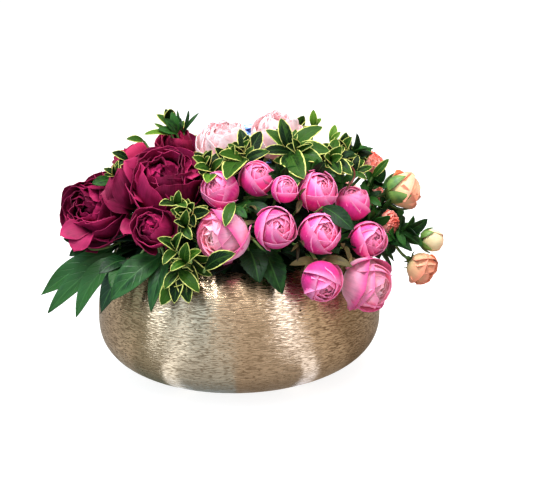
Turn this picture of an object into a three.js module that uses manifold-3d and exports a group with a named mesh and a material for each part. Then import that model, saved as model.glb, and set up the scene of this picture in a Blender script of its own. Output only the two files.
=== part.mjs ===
// A low floral table centrepiece. A hammered metal bowl holds a block of floral foam. Spray roses,
// peonies, a hydrangea and variegated foliage stand in the foam on their stems.
// Units are millimetres and +Z is up. The origin is the middle of the bowl's flat foot.
// -Y is the front, with pink roses in the middle, dark peonies at -X and peach roses at +X.
import * as THREE from "three";
import { mergeVertices } from "three/addons/utils/BufferGeometryUtils.js";
import Module from "manifold-3d";

const wasm = await Module();
wasm.setup();

// ---- Driving dimensions ----

const GAP = 0.35; // clearance kept between neighbouring pieces
const BLADE = 0.8; // thickness of a leaf, a petal's edge or a sepal
const BOWL = {
  height: 140,
  footRadius: 45,
  bellyRadius: 150,
  bellyHeight: 66,
  rimRadius: 118,
  wall: 2.5,
  squareness: 2.4, // 2 is an ellipse and more is squarer
  sides: 28,
};
const FOAM = { footRadius: 43, radius: 102, shoulder: 144, crown: 170, sides: 14 };
const STEM_SIDES = 4;
const PEG = {
  depth: 30, // how deep a stem stands in the foam
  aim: new THREE.Vector3(0, 0, 30), // the pegs of all stems lean towards this point
  inward: 0.62, // a stem enters the foam at this share of its bloom's distance from the axis
  furthest: 90, // and no further out than this
};
const SEAT = { depth: 0.82, radius: 0.3 }; // the flat under a bloom, in shares of its radius

// ---- Colours and finishes ----

const finish = (color, roughness = 0.6, metalness = 0) =>
  new THREE.MeshStandardMaterial({ color, roughness, metalness });
const FINISH = {
  bowl: finish(0xb39a72, 0.35, 1),
  foam: finish(0x4b6b45, 0.95),
  pink: finish(0xe0529f),
  burgundy: finish(0x7c1238, 0.55),
  blush: finish(0xf0ccd0),
  blue: finish(0x7f9fd8),
  peach: finish(0xf3ae8a),
  coral: finish(0xee6a56),
  stem: finish(0x3f6b35, 0.5),
  variegated: finish(0x6d9a45, 0.45),
};

// ---- Petal layers ----
// A place is an angle from the bloom's axis in radians and a distance in shares of its radius, both
// taken from its middle. Each layer of petals rises to a lip and falls behind it into a crease.

const TILT = 0.045; // one side of a petal stands this much over its neighbour
const DROP = 0.14; // the corners of a petal's lip are this much lower
const TWIST = 0.3; // each layer is turned this far from the one around it
const KINDS = {
  rose: {
    petals: 5,
    columns: 3,
    belly: [1.55, 0.97],
    layers: [
      { lip: [0.66, 0.99], crease: [0.62, 0.76] },
      { lip: [0.4, 0.88], crease: [0.3, 0.66] },
    ],
    heart: 0.8,
  },
  openRose: {
    petals: 5,
    columns: 3,
    belly: [1.65, 0.93],
    layers: [
      { lip: [0.96, 1], crease: [0.9, 0.74] },
      { lip: [0.66, 0.92], crease: [0.56, 0.68] },
      { lip: [0.38, 0.8], crease: [0.26, 0.6] },
    ],
    heart: 0.7,
  },
  peony: {
    petals: 5,
    columns: 4,
    belly: [1.75, 0.86],
    layers: [
      { lip: [1.16, 1], crease: [1.04, 0.74] },
      { lip: [0.78, 0.96], crease: [0.66, 0.7] },
      { lip: [0.42, 0.9], crease: [0.26, 0.66] },
    ],
    heart: 0.78,
    ruffle: 0.045,
  },
  smallPeony: {
    petals: 4,
    columns: 4,
    belly: [1.7, 0.88],
    layers: [
      { lip: [0.98, 1], crease: [0.84, 0.72] },
      { lip: [0.5, 0.92], crease: [0.3, 0.64] },
    ],
    heart: 0.78,
    ruffle: 0.045,
  },
  coral: {
    petals: 4,
    columns: 3,
    belly: [1.6, 0.94],
    layers: [
      { lip: [0.84, 1], crease: [0.78, 0.72] },
      { lip: [0.46, 0.86], crease: [0.32, 0.62] },
    ],
    heart: 0.74,
  },
  bud: {
    petals: 3,
    columns: 3,
    belly: [1.5, 0.97],
    layers: [{ lip: [0.42, 1], crease: [0.36, 0.86] }],
    heart: 0.94,
  },
};

// ---- The blooms ----
// at is the middle of a head, aim the way it opens and radius its reach.

const HEADS = {
  pink_rose: [
    { kind: "rose", at: [-13, -96, 217], aim: [-0.28, -0.88, 0.38], radius: 18 },
    { kind: "rose", at: [23, -88, 226], aim: [0.4, -0.75, 0.5], radius: 16.5 },
    { kind: "rose", at: [49, -110, 219], aim: [0.1, -0.85, 0.45], radius: 12.5 },
    { kind: "rose", at: [81, -84, 211], aim: [0.5, -0.78, 0.36], radius: 19.5 },
    { kind: "rose", at: [118, -62, 193], aim: [0.3, -0.35, 0.89], radius: 17 },
    { kind: "openRose", at: [-8, -128, 179], aim: [-0.58, -0.8, -0.05], radius: 25 },
    { kind: "rose", at: [39, -138, 188], aim: [0.3, -0.93, 0.15], radius: 19.5 },
    { kind: "rose", at: [82, -122, 178], aim: [0.5, -0.85, 0.1], radius: 19.5 },
    { kind: "rose", at: [132, -78, 160], aim: [0.7, -0.7, 0.05], radius: 18 },
    { kind: "rose", at: [82, -142, 137], aim: [0.22, -0.6, -0.77], radius: 19 },
    { kind: "openRose", at: [126, -109, 124], aim: [0.7, -0.55, -0.46], radius: 26 },
  ],
  peony: [
    { kind: "peony", at: [-140, -45, 187], aim: [-0.62, -0.72, 0.3], radius: 36 },
    { kind: "peony", at: [-70, -72, 219], aim: [0.05, -0.7, 0.71], radius: 37 },
    { kind: "smallPeony", at: [-77, -121, 185], aim: [0.05, -0.9, 0.25], radius: 21 },
    { kind: "smallPeony", at: [-61, 10, 242], aim: [0, -0.55, 0.83], radius: 21.5 },
    { kind: "smallPeony", at: [-106, 0, 228], aim: [-0.55, 0.1, 0.83], radius: 20.5 },
    { kind: "peony", at: [-107, 70, 196], aim: [-0.6, 0.6, 0.52], radius: 32 },
  ],
  blush_peony: [
    { kind: "peony", at: [-12, -8, 245], aim: [-0.1, -0.4, 0.9], radius: 27.5 },
    { kind: "peony", at: [44, 24, 248], aim: [0.12, -0.25, 0.96], radius: 27 },
    { kind: "peony", at: [-50, 104, 203], aim: [-0.25, 0.75, 0.6], radius: 28 },
  ],
  hydrangea: [{ kind: "hydrangea", at: [14, 86, 212], aim: [0.1, 0.6, 0.79], radius: 38 }],
  peach_rose: [
    { kind: "openRose", at: [173, -16, 196], aim: [0.96, 0.12, 0.15], radius: 18.5, hugged: true },
    { kind: "bud", at: [203, -25, 144], aim: [0.96, -0.1, -0.12], radius: 12, hugged: true },
    { kind: "openRose", at: [189, -45, 121], aim: [0.72, -0.5, -0.4], radius: 16 },
  ],
  coral_rose: [
    { kind: "coral", at: [143, 28, 215], aim: [0.6, -0.1, 0.75], radius: 15 },
    { kind: "coral", at: [147, 22, 183], aim: [0.9, 0.1, 0.3], radius: 12.5 },
    { kind: "coral", at: [156, -34, 166], aim: [0.8, -0.5, 0.1], radius: 12 },
    { kind: "coral", at: [94, 84, 205], aim: [0.5, 0.65, 0.57], radius: 17 },
    { kind: "coral", at: [122, 72, 172], aim: [0.75, 0.6, 0.25], radius: 15 },
  ],
};
const COLOURS = {
  pink_rose: "pink",
  peony: "burgundy",
  blush_peony: "blush",
  hydrangea: "blue",
  peach_rose: "peach",
  coral_rose: "coral",
};
const FLORETS = 13; // on the hydrangea

// Each stem with the heads it bears. The first head is at its end and the rest are on branches.
const STEMS = {
  peony_1_stem: { heads: ["peony_1"], radius: 3.2 },
  peony_2_stem: { heads: ["peony_2"], radius: 3.2 },
  peony_3_stem: { heads: ["peony_3"], radius: 2.6 },
  peony_4_stem: { heads: ["peony_4"], radius: 2.6 },
  peony_5_stem: { heads: ["peony_5"], radius: 2.6 },
  peony_6_stem: { heads: ["peony_6"], radius: 3.2 },
  blush_peony_1_stem: { heads: ["blush_peony_1"], radius: 2.6 },
  blush_peony_2_stem: { heads: ["blush_peony_2"], radius: 2.6 },
  blush_peony_3_stem: { heads: ["blush_peony_3"], radius: 2.6 },
  hydrangea_stem: { heads: ["hydrangea_1"], radius: 3.2 },
  pink_spray_1: { heads: ["pink_rose_1", "pink_rose_2", "pink_rose_3"], radius: 2.2 },
  pink_spray_2: { heads: ["pink_rose_4", "pink_rose_5", "pink_rose_9"], radius: 2.2 },
  pink_spray_3: { heads: ["pink_rose_6", "pink_rose_7"], radius: 2.2 },
  pink_spray_4: { heads: ["pink_rose_8", "pink_rose_10", "pink_rose_11"], radius: 2.2 },
  peach_spray: { heads: ["peach_rose_1", "peach_rose_2", "peach_rose_3"], radius: 2 },
  coral_spray_1: { heads: ["coral_rose_1", "coral_rose_2", "coral_rose_3"], radius: 1.8 },
  coral_spray_2: { heads: ["coral_rose_4", "coral_rose_5"], radius: 1.8 },
};

// Large leaves on those stems, from root to tip. face is the way a leaf's upper side looks.
const LARGE_LEAVES = {
  peony_1_stem: [
    { root: [-124, -46, 150], tip: [-204, -46, 100], face: [-0.3, -0.8, 0.5], width: 25 },
    { root: [-122, -54, 146], tip: [-194, -68, 88], face: [-0.3, -0.8, 0.5], width: 24 },
    { root: [-116, -66, 148], tip: [-162, -92, 90], face: [-0.4, -0.8, 0.4], width: 24 },
    { root: [-124, -36, 158], tip: [-184, -10, 152], face: [-0.1, -0.5, 0.8], width: 24 },
  ],
  peony_3_stem: [
    { root: [-98, -92, 150], tip: [-134, -114, 100], face: [-0.4, -0.8, 0.4], width: 24 },
    { root: [-70, -112, 158], tip: [-122, -132, 118], face: [-0.2, -0.8, 0.6], width: 30 },
    { root: [-66, -116, 156], tip: [-82, -144, 110], face: [-0.4, -0.8, 0.4], width: 18 },
  ],
  peony_6_stem: [
    { root: [-110, 66, 158], tip: [-170, 104, 124], face: [-0.3, 0.5, 0.8], width: 26 },
    { root: [-92, 84, 156], tip: [-118, 138, 118], face: [-0.3, 0.6, 0.7], width: 26 },
  ],
  pink_spray_1: [
    { root: [2, -84, 200], tip: [6, -116, 196], face: [0, -0.4, 0.9], width: 18, toothed: true },
  ],
  pink_spray_2: [
    { root: [96, -78, 184], tip: [106, -108, 188], face: [0, -0.4, 0.9], width: 18, toothed: true },
  ],
  pink_spray_3: [
    { root: [14, -118, 162], tip: [8, -152, 138], face: [0, -0.6, 0.8], width: 30, toothed: true },
    { root: [28, -116, 162], tip: [44, -150, 126], face: [0.2, -0.7, 0.6], width: 28, toothed: true },
  ],
  peach_spray: [
    { root: [150, -30, 150], tip: [186, -44, 146], face: [0.1, -0.5, 0.8], width: 22, toothed: true },
  ],
  coral_spray_2: [
    { root: [100, 84, 160], tip: [124, 118, 142], face: [0.4, 0.5, 0.7], width: 28, toothed: true },
  ],
  blush_peony_3_stem: [
    { root: [-36, 100, 160], tip: [-42, 144, 136], face: [0, 0.6, 0.8], width: 30, toothed: true },
  ],
  hydrangea_stem: [
    { root: [22, 98, 160], tip: [26, 148, 136], face: [0, 0.6, 0.8], width: 32, toothed: true },
  ],
};

// Variegated sprigs. Their leaves start at the point at and climb along aim for the length.
const SPRIG_RADIUS = { stem: 1.7, tip: 0.9 };
const SPRIGS = [
  { at: [62, -34, 226], aim: [0.12, -0.7, 0.7], length: 26, leaves: 7, blade: 34 },
  { at: [12, -44, 230], aim: [-0.1, -0.6, 0.79], length: 22, leaves: 6, blade: 27 },
  { at: [-24, -62, 226], aim: [-0.2, -0.7, 0.68], length: 18, leaves: 6, blade: 26 },
  { at: [-42, -108, 194], aim: [-0.15, -0.9, 0.4], length: 22, leaves: 6, blade: 25 },
  { at: [-40, -120, 160], aim: [-0.25, -0.8, -0.55], length: 34, leaves: 7, blade: 27 },
  { at: [-60, 42, 234], aim: [-0.25, -0.1, 0.96], length: 28, leaves: 6, blade: 32 },
  { at: [104, -14, 222], aim: [0.25, -0.5, 0.83], length: 24, leaves: 6, blade: 28 },
  { at: [108, 26, 206], aim: [0.75, -0.2, 0.63], length: 30, leaves: 6, blade: 28 },
  { at: [-112, -24, 210], aim: [-0.5, -0.5, 0.7], length: 20, leaves: 5, blade: 22 },
  { at: [58, 72, 218], aim: [0.3, 0.4, 0.86], length: 26, leaves: 6, blade: 32 },
  { at: [52, 128, 172], aim: [0.35, 0.85, 0.38], length: 30, leaves: 5, blade: 32 },
  { at: [-92, 112, 168], aim: [-0.5, 0.8, 0.2], length: 28, leaves: 5, blade: 32 },
];

// ---- Solids ----

const GOLDEN_ANGLE = Math.PI * (3 - Math.sqrt(5));
const { lerp } = THREE.MathUtils;
const vector = (point) => new THREE.Vector3(...point);
const range = (count) => Array.from({ length: count }, (_, k) => k);
const union = (solids) => solids.reduce((joined, next) => joined.add(next));

/** A point at an angle from the Z axis, a turn about it and a distance from the origin. */
function fromPolar(polar, around, distance) {
  const across = Math.sin(polar) * distance;
  return new THREE.Vector3(across * Math.cos(around), across * Math.sin(around), Math.cos(polar) * distance);
}

/** A closed three.js geometry as a manifold solid. Triangles with no area are dropped. */
function solidOf(geometry) {
  const bare = new THREE.BufferGeometry().setAttribute("position", geometry.getAttribute("position"));
  bare.setIndex(geometry.index);
  const merged = mergeVertices(bare, 1e-4);
  const corners = merged.index.array;
  const kept = [];
  for (let i = 0; i < corners.length; i += 3) {
    const [a, b, c] = corners.slice(i, i + 3);
    if (a !== b && b !== c && c !== a) kept.push(a, b, c);
  }
  const mesh = new wasm.Mesh({
    numProp: 3,
    vertProperties: new Float32Array(merged.attributes.position.array),
    triVerts: new Uint32Array(kept),
  });
  return new wasm.Manifold(mesh);
}

/** A closed solid from a list of points and one of triangles. */
function closedSolid(points, triangles) {
  const geometry = new THREE.BufferGeometry().setFromPoints(points);
  geometry.setIndex(triangles);
  return solidOf(geometry);
}

/** The largest body of a manifold solid as a three.js geometry, without loose scraps. */
function geometryOf(solid) {
  const [largest] = solid.decompose().sort((a, b) => b.volume() - a.volume());
  const { vertProperties, triVerts, numProp, numVert } = largest.getMesh();
  const points = range(numVert).map((k) => vector(vertProperties.subarray(k * numProp, k * numProp + 3)));
  const geometry = new THREE.BufferGeometry().setFromPoints(points);
  geometry.setIndex(new THREE.BufferAttribute(new Uint32Array(triVerts), 1));
  geometry.computeVertexNormals();
  return geometry;
}

/** A thin closed blade between two grids of points alike in size, split alike on both faces. */
function blade(front, back) {
  const rows = front.length;
  const columns = front[0].length;
  const count = rows * columns;
  const at = (row, column) => row * columns + column;
  const triangles = [];
  for (let row = 0; row + 1 < rows; row += 1) {
    for (let column = 0; column + 1 < columns; column += 1) {
      const [a, b] = [at(row, column), at(row, column + 1)];
      const [c, d] = [at(row + 1, column + 1), at(row + 1, column)];
      triangles.push(a, b, c, a, c, d);
      triangles.push(a + count, c + count, b + count, a + count, d + count, c + count);
    }
  }
  const edge = [
    ...range(columns - 1).map((k) => at(0, k)),
    ...range(rows - 1).map((k) => at(k, columns - 1)),
    ...range(columns - 1).map((k) => at(rows - 1, columns - 1 - k)),
    ...range(rows - 1).map((k) => at(rows - 1 - k, 0)),
  ];
  edge.forEach((from, k) => {
    const to = edge[(k + 1) % edge.length];
    triangles.push(from, from + count, to + count, from, to + count, to);
  });
  return closedSolid([...front.flat(), ...back.flat()], triangles);
}

/** The side faces between rings of points, and a fan from each end ring to a point of its own. */
function ringed(rings, firstMiddle, lastMiddle, isSplitBack = () => false) {
  const count = rings[0].length;
  const points = [...rings.flat(), firstMiddle, lastMiddle];
  const [first, last] = [points.length - 2, points.length - 1];
  const lastRing = (rings.length - 1) * count;
  const triangles = [];
  for (let k = 0; k < count; k += 1) {
    const next = (k + 1) % count;
    triangles.push(first, next, k, last, lastRing + k, lastRing + next);
    for (let ring = 0; ring + 1 < rings.length; ring += 1) {
      const [low, high] = [ring * count, (ring + 1) * count];
      const [a, b, c, d] = [low + k, low + next, high + next, high + k];
      if (isSplitBack(ring)) triangles.push(a, b, d, b, c, d);
      else triangles.push(a, b, c, a, c, d);
    }
  }
  return closedSolid(points, triangles);
}

/** A rod through points, with its own radius at each and flat ends. */
function rod(points, radii) {
  let side = new THREE.Vector3(0.31, 0.9, 0.27);
  const rings = points.map((point, index) => {
    const before = points[Math.max(index - 1, 0)];
    const after = points[Math.min(index + 1, points.length - 1)];
    const along = after.clone().sub(before).normalize();
    side = side.clone().addScaledVector(along, -side.dot(along)).normalize();
    const other = along.clone().cross(side);
    return range(STEM_SIDES).map((k) => {
      const turn = (2 * Math.PI * k) / STEM_SIDES;
      const out = side.clone().multiplyScalar(Math.cos(turn)).addScaledVector(other, Math.sin(turn));
      return point.clone().addScaledVector(out, radii[index]);
    });
  });
  return ringed(rings, points[0], points[points.length - 1]);
}

/** A solid of revolution about Z, from [radius, height] pairs listed up the outside. */
function turned(profile, sides) {
  const points = profile.map(([radius, height]) => new THREE.Vector2(radius, height));
  return solidOf(new THREE.LatheGeometry(points, sides).rotateX(Math.PI / 2));
}

// ---- What stands where ----

const centrepiece = new THREE.Group();
const flowers = new THREE.Group();
const greenery = new THREE.Group();
centrepiece.add(flowers, greenery);
const occupied = []; // the solids that a new piece has to keep clear of
const pegs = []; // the parts of the stems that stand in the foam

/** Keeps the room of a solid from the pieces made after it. */
function occupy(name, solid) {
  occupied.push({ name, solid, box: solid.boundingBox() });
}

/** True if a solid keeps its gap to all that is placed, apart from one piece it may enter. */
function isClear(solid, entered = "") {
  const box = solid.boundingBox();
  return occupied.every((other) => {
    const isApart = [0, 1, 2].some(
      (k) => box.min[k] - GAP > other.box.max[k] || other.box.min[k] - GAP > box.max[k],
    );
    return isApart || other.name === entered || solid.minGap(other.solid, 2 * GAP) > 0.9 * GAP;
  });
}

/** Adds a named mesh to a group. frame places a piece that is made about an origin of its own. */
function show(group, name, solid, material, frame = new THREE.Matrix4()) {
  const mesh = new THREE.Mesh(geometryOf(solid), material);
  mesh.name = name;
  mesh.applyMatrix4(frame);
  group.add(mesh);
}

// ---- Bowl and foam ----

/** A place on the bowl's side: 0 is the foot's edge, 1 the belly and 2 the rim. */
function bowlSide(share, inset) {
  const { footRadius, bellyRadius, bellyHeight, rimRadius, height, squareness } = BOWL;
  const angle = (share * Math.PI) / 2;
  if (share <= 1) {
    const drop = (bellyHeight - inset) * Math.cos(angle) ** (2 / squareness);
    return [lerp(footRadius, bellyRadius - inset, Math.sin(angle)), bellyHeight - drop];
  }
  const rise = angle - Math.PI / 2;
  const narrowing = (bellyRadius - rimRadius) * (1 - Math.cos(rise));
  return [bellyRadius - inset - narrowing, lerp(bellyHeight, height, Math.sin(rise))];
}

function bowl() {
  const shares = [0, 0.3, 0.6, 0.85, 1.1, 1.4, 1.7, 2];
  const outside = shares.map((share) => bowlSide(share, 0));
  const inside = shares.map((share) => bowlSide(share, BOWL.wall)).reverse();
  return turned([[0, 0], ...outside, ...inside, [0, BOWL.wall]], BOWL.sides);
}

/** The height of the foam's domed top at a distance from its axis. */
function foamTop(radius) {
  const share = Math.min(radius / FOAM.radius, 1);
  return lerp(FOAM.shoulder, FOAM.crown, Math.cos((share * Math.PI) / 2));
}

/** The block of foam, rounded below to stand in the bowl. */
function foamBlock() {
  const floor = BOWL.wall + GAP;
  const side = [
    [0, floor],
    [FOAM.footRadius, floor],
    [0.76 * FOAM.radius, 9],
    [0.94 * FOAM.radius, 18],
    [FOAM.radius, 30],
  ];
  const dome = [1, 0.7, 0.35, 0].map((share) => [share * FOAM.radius, foamTop(share * FOAM.radius)]);
  return turned([...side, ...dome], FOAM.sides);
}

/** The hole that a stem stands in, a gap wider and deeper than its peg and open at the top. */
function socket({ foot, mouth, out, radius }) {
  const wide = (radius + GAP) / Math.cos(Math.PI / STEM_SIDES);
  const ends = [foot.clone().addScaledVector(out, -GAP), mouth.clone().addScaledVector(out, 8)];
  return rod(ends, [wide, wide]);
}

// ---- Petals ----

/** A whole bloom in its own frame: one surface that runs up and down over every layer of petals. */
function petalledHead({ kind, radius }) {
  const { petals, columns, belly, layers, heart, ruffle = 0 } = KINDS[kind];
  const levels = [
    { place: [Math.atan2(SEAT.radius, -SEAT.depth), Math.hypot(SEAT.radius, SEAT.depth)] },
    { place: [2.25, 0.93 * belly[1]], tilt: TILT / 2 },
    { place: belly, tilt: TILT },
  ];
  layers.forEach(({ lip, crease }, layer) => {
    levels.push({ place: lip, tilt: TILT, drop: DROP, wave: ruffle, turn: layer * TWIST });
    levels.push({ place: crease, tilt: TILT / 2, drop: DROP, wave: ruffle / 2, turn: (layer + 0.2) * TWIST });
  });
  const ring = ({ place: [polar, distance], tilt = 0, drop = 0, wave = 0, turn = 0 }) =>
    range(petals * columns).map((k) => {
      const across = (2 * (k % columns)) / (columns - 1) - 1; // -1 and 1 are a petal's two sides
      const ripple = (k % columns) % 2 ? wave : -wave;
      const around = turn + (2 * Math.PI * (Math.floor(k / columns) + 0.47 * across)) / petals;
      const reach = radius * (distance + tilt * across + ripple);
      return fromPolar(polar + drop * across * across + ripple, around, reach);
    });
  const seat = new THREE.Vector3(0, 0, -SEAT.depth * radius);
  return ringed(levels.map(ring), seat, new THREE.Vector3(0, 0, heart * radius));
}

/** One four-lobed floret as a funnel: a star whose underside tapers to a root in the head. */
function floret(size) {
  const lobes = range(8).map((k) =>
    fromPolar(k % 2 ? 1.66 : 1.4, (k * Math.PI) / 4, (k % 2 ? 0.5 : 1) * size),
  );
  return ringed([lobes], new THREE.Vector3(0, 0, -0.7 * size), new THREE.Vector3(0, 0, -0.12 * size));
}

/** The hydrangea's head: florets spread evenly over a ball that they stand out of. */
function floretHead({ radius }) {
  const core = solidOf(new THREE.SphereGeometry(0.84 * radius, 9, 6).rotateX(Math.PI / 2));
  const up = new THREE.Vector3(0, 0, 1);
  const florets = range(FLORETS).map((k) => {
    const height = 1 - (1.5 * (k + 0.4)) / FLORETS;
    const out = fromPolar(Math.acos(height), k * GOLDEN_ANGLE, 1);
    const spin = new THREE.Quaternion().setFromUnitVectors(up, out);
    const place = out.multiplyScalar(0.96 * radius);
    const frame = new THREE.Matrix4().compose(place, spin, new THREE.Vector3(1, 1, 1));
    return floret(0.47 * radius).transform(frame.elements);
  });
  return union([core, ...florets]).trimByPlane([0, 0, 1], -SEAT.depth * radius);
}

/** The frame of a bloom: its middle at the origin and its axis along Z. */
function bloomFrame({ at, aim }) {
  const turn = new THREE.Quaternion().setFromUnitVectors(new THREE.Vector3(0, 0, 1), vector(aim).normalize());
  return new THREE.Matrix4().compose(vector(at), turn, new THREE.Vector3(1, 1, 1));
}

// ---- Under a bloom ----

/** How far the swelling under a bloom reaches down from the bloom's seat. */
const neckHeight = (radius) => Math.min(0.34 * radius, 8);

/** The swelling under a bloom with five sepals bent back from it. */
function openCalyx(radius, stemRadius, reach) {
  const seat = -SEAT.depth * radius - GAP;
  const star = range(10).map((k) => {
    const isTip = k % 2 === 0;
    const point = fromPolar(isTip ? 1.85 : 1.57, (k * Math.PI) / 5, (isTip ? reach : 0.26) * radius);
    return point.setZ(point.z + seat);
  });
  const neck = range(10).map((k) =>
    fromPolar(Math.PI / 2, (k * Math.PI) / 5, 1.3 * stemRadius).setZ(seat - neckHeight(radius)),
  );
  return ringed([neck, star], new THREE.Vector3(0, 0, neck[0].z), new THREE.Vector3(0, 0, seat));
}

/** A calyx whose five sepals still hug the bloom, standing clear of its petals. */
function huggingCalyx(radius, stemRadius) {
  const inner = (1 + TILT) * radius + GAP + 3 * BLADE;
  const outer = inner + 1.2 * BLADE;
  const seat = -SEAT.depth * radius - GAP;
  const neck = seat - neckHeight(radius);
  const sepals = (share, reach) =>
    range(10).map((k) => fromPolar(lerp(2.55, k % 2 ? 2.2 : 1.1, share), (k * Math.PI) / 5, reach));
  const rings = [
    range(10).map((k) => fromPolar(Math.PI / 2, (k * Math.PI) / 5, 1.3 * stemRadius).setZ(neck)),
    ...[0, 0.5, 1].map((share) => sepals(share, outer)),
    ...[1, 0.5, 0].map((share) => sepals(share, inner)),
  ];
  const isInside = (ring) => ring > 3;
  return ringed(rings, new THREE.Vector3(0, 0, neck), new THREE.Vector3(0, 0, seat), isInside);
}

/** The calyx of a bloom, with the longest sepals that keep clear of all that is placed. */
function calyx(bloom, stemRadius) {
  const { radius, hugged } = bloom;
  const frame = bloomFrame(bloom).elements;
  if (hugged) return huggingCalyx(radius, stemRadius).transform(frame);
  const choices = [0.7, 0.55, 0.4, 0.3].map((reach) => openCalyx(radius, stemRadius, reach).transform(frame));
  return choices.find((choice) => isClear(choice));
}

/** Where a stem meets the swelling under a bloom. */
function neckOf({ at, aim, radius }) {
  const down = SEAT.depth * radius + GAP + neckHeight(radius) - 1.5;
  return vector(at).addScaledVector(vector(aim).normalize(), -down);
}

// ---- Stems ----

const CURVES = [[0.35, 0.3], [0.6, 0.2], [0.15, 0.15], [0.15, 0.5], [0.5, 0.5], [0.05, 0.05]];
const TURNS = [0, 0.12, -0.12, 0.25, -0.25, 0.4, -0.4];
const INWARDS = [1, 0.8, 0.6];

/** Points on a curve that leaves start along out and reaches target along aim. */
function curve(start, out, target, aim, [pull, bow], segments) {
  const reach = start.distanceTo(target);
  const leaving = start.clone().addScaledVector(out, reach * pull);
  const arriving = target.clone().addScaledVector(aim, -reach * bow);
  return new THREE.CubicBezierCurve3(start, leaving, arriving, target).getPoints(segments);
}

/** Where and how a stem enters the foam on its way to a target. */
function pegTowards(target, radius, turn, inward) {
  const around = Math.atan2(target.y, target.x) + turn;
  const distance = inward * Math.min(Math.hypot(target.x, target.y) * PEG.inward, PEG.furthest);
  const mouth = fromPolar(Math.PI / 2, around, distance).setZ(foamTop(distance));
  const out = mouth.clone().sub(PEG.aim).normalize();
  return { foot: mouth.clone().addScaledVector(out, -PEG.depth), mouth, out, radius };
}

/** A stem that stands in the foam and bends clear of all that is placed on its way to a target. */
function standingStem(target, aim, radius, tip = []) {
  for (const turn of TURNS) {
    for (const inward of INWARDS) {
      const peg = pegTowards(target, radius, turn, inward);
      const start = peg.mouth.clone().addScaledVector(peg.out, 5);
      if (!isClear(rod([peg.foot, start], [radius, radius]), "foam")) continue;
      for (const choice of CURVES) {
        const path = curve(start, peg.out, target, aim, choice, 4);
        const upper = [...path, ...tip];
        const radii = upper.map((_, k) => (k < path.length ? radius : SPRIG_RADIUS.tip));
        if (isClear(rod(upper, radii))) {
          pegs.push(peg);
          return { solid: rod([peg.foot, ...upper], [radius, ...radii]), path };
        }
      }
    }
  }
  throw new Error("a stem finds no clear way");
}

/** A branch of a stem that bends clear of all that is placed on its way to a target. */
function branch(path, target, aim, radius) {
  for (const joint of [2, 1, 3, 0]) {
    const out = path[joint + 1].clone().sub(path[joint]).normalize();
    for (const choice of CURVES) {
      const points = curve(path[joint], out, target, aim, choice, 3);
      const solid = rod(points, points.map(() => radius));
      if (isClear(solid)) return solid;
    }
  }
  throw new Error("a branch finds no clear way");
}

// ---- Leaves ----

const LIFTS = [0, 0.3, -0.3, 0.6, -0.6];
const SWEEPS = [0, 0.35, -0.35, 0.7, -0.7];

/** A large leaf along X with its upper face up: arched, folded at the rib, and toothed if asked. */
function largeLeaf(length, width, toothed = false) {
  const rows = toothed ? 6 : 4;
  const upper = range(rows + 1).map((row) => {
    const t = row / rows;
    const notch = toothed && row % 2 === 0 ? 0.8 : 1;
    const half = row % rows ? 0.5 * width * notch * Math.sin(Math.PI * t ** 0.85) ** 0.9 : 0;
    const rise = 0.12 * length * Math.sin(Math.PI * t);
    return [half, 0, -half].map((y) => new THREE.Vector3(t * length, y, rise + 0.28 * Math.abs(y)));
  });
  return blade(upper, upper.map((row) => row.map((point) => point.clone().setZ(point.z - BLADE))));
}

/** A sprig's leaf along X: six corners folded along a straight rib. */
function smallLeaf(length) {
  const half = 0.23 * length;
  const side = [[0.36, 1, 0.4], [0.72, 0.8, 0.3]];
  const outline = [
    [0, 0, 0],
    ...side.map(([x, y, z]) => [x, -y, z]),
    [1, 0, -0.16],
    ...side.toReversed(),
  ];
  const upper = outline.map(([x, y, z]) => new THREE.Vector3(x * length, y * half, z * half));
  const lower = upper.map((point) => point.clone().setZ(point.z - BLADE));
  const tip = 3;
  const triangles = [];
  for (let k = 0; k < 6; k += 1) {
    const next = (k + 1) % 6;
    triangles.push(k, k + 6, next + 6, k, next + 6, next);
    if (k !== tip && next !== tip) triangles.push(tip, k, next, tip + 6, next + 6, k + 6);
  }
  return closedSolid([...upper, ...lower], triangles);
}

/** A leaf laid from a root along a direction, and swung aside until it is clear of all placed. */
function clearLeaf(leaf, root, along, face) {
  const side = face.clone().cross(along).normalize();
  for (const lift of LIFTS) {
    for (const sweep of SWEEPS) {
      const x = along.clone().applyAxisAngle(side, -lift).applyAxisAngle(face, sweep).normalize();
      const up = face.clone().applyAxisAngle(side, -lift);
      const z = up.addScaledVector(x, -up.dot(x)).normalize();
      const frame = new THREE.Matrix4().makeBasis(x, z.clone().cross(x), z).setPosition(root);
      const placed = leaf.transform(frame.elements);
      if (isClear(placed)) return placed;
    }
  }
  throw new Error("a leaf finds no room");
}

/** A large leaf with the stalk that joins it to its stem. */
function stalkedLeaf(path, leaf) {
  const root = vector(leaf.root);
  const along = vector(leaf.tip).sub(root);
  const blank = largeLeaf(along.length(), leaf.width, leaf.toothed);
  along.normalize();
  const end = root.clone().addScaledVector(along, 4);
  const stalk = path
    .toSorted((a, b) => a.distanceTo(end) - b.distanceTo(end))
    .map((start) => rod([start, end], [1.5, 1.1]))
    .find((choice) => isClear(choice));
  return [stalk, clearLeaf(blank, root, along, vector(leaf.face).normalize())];
}

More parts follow.
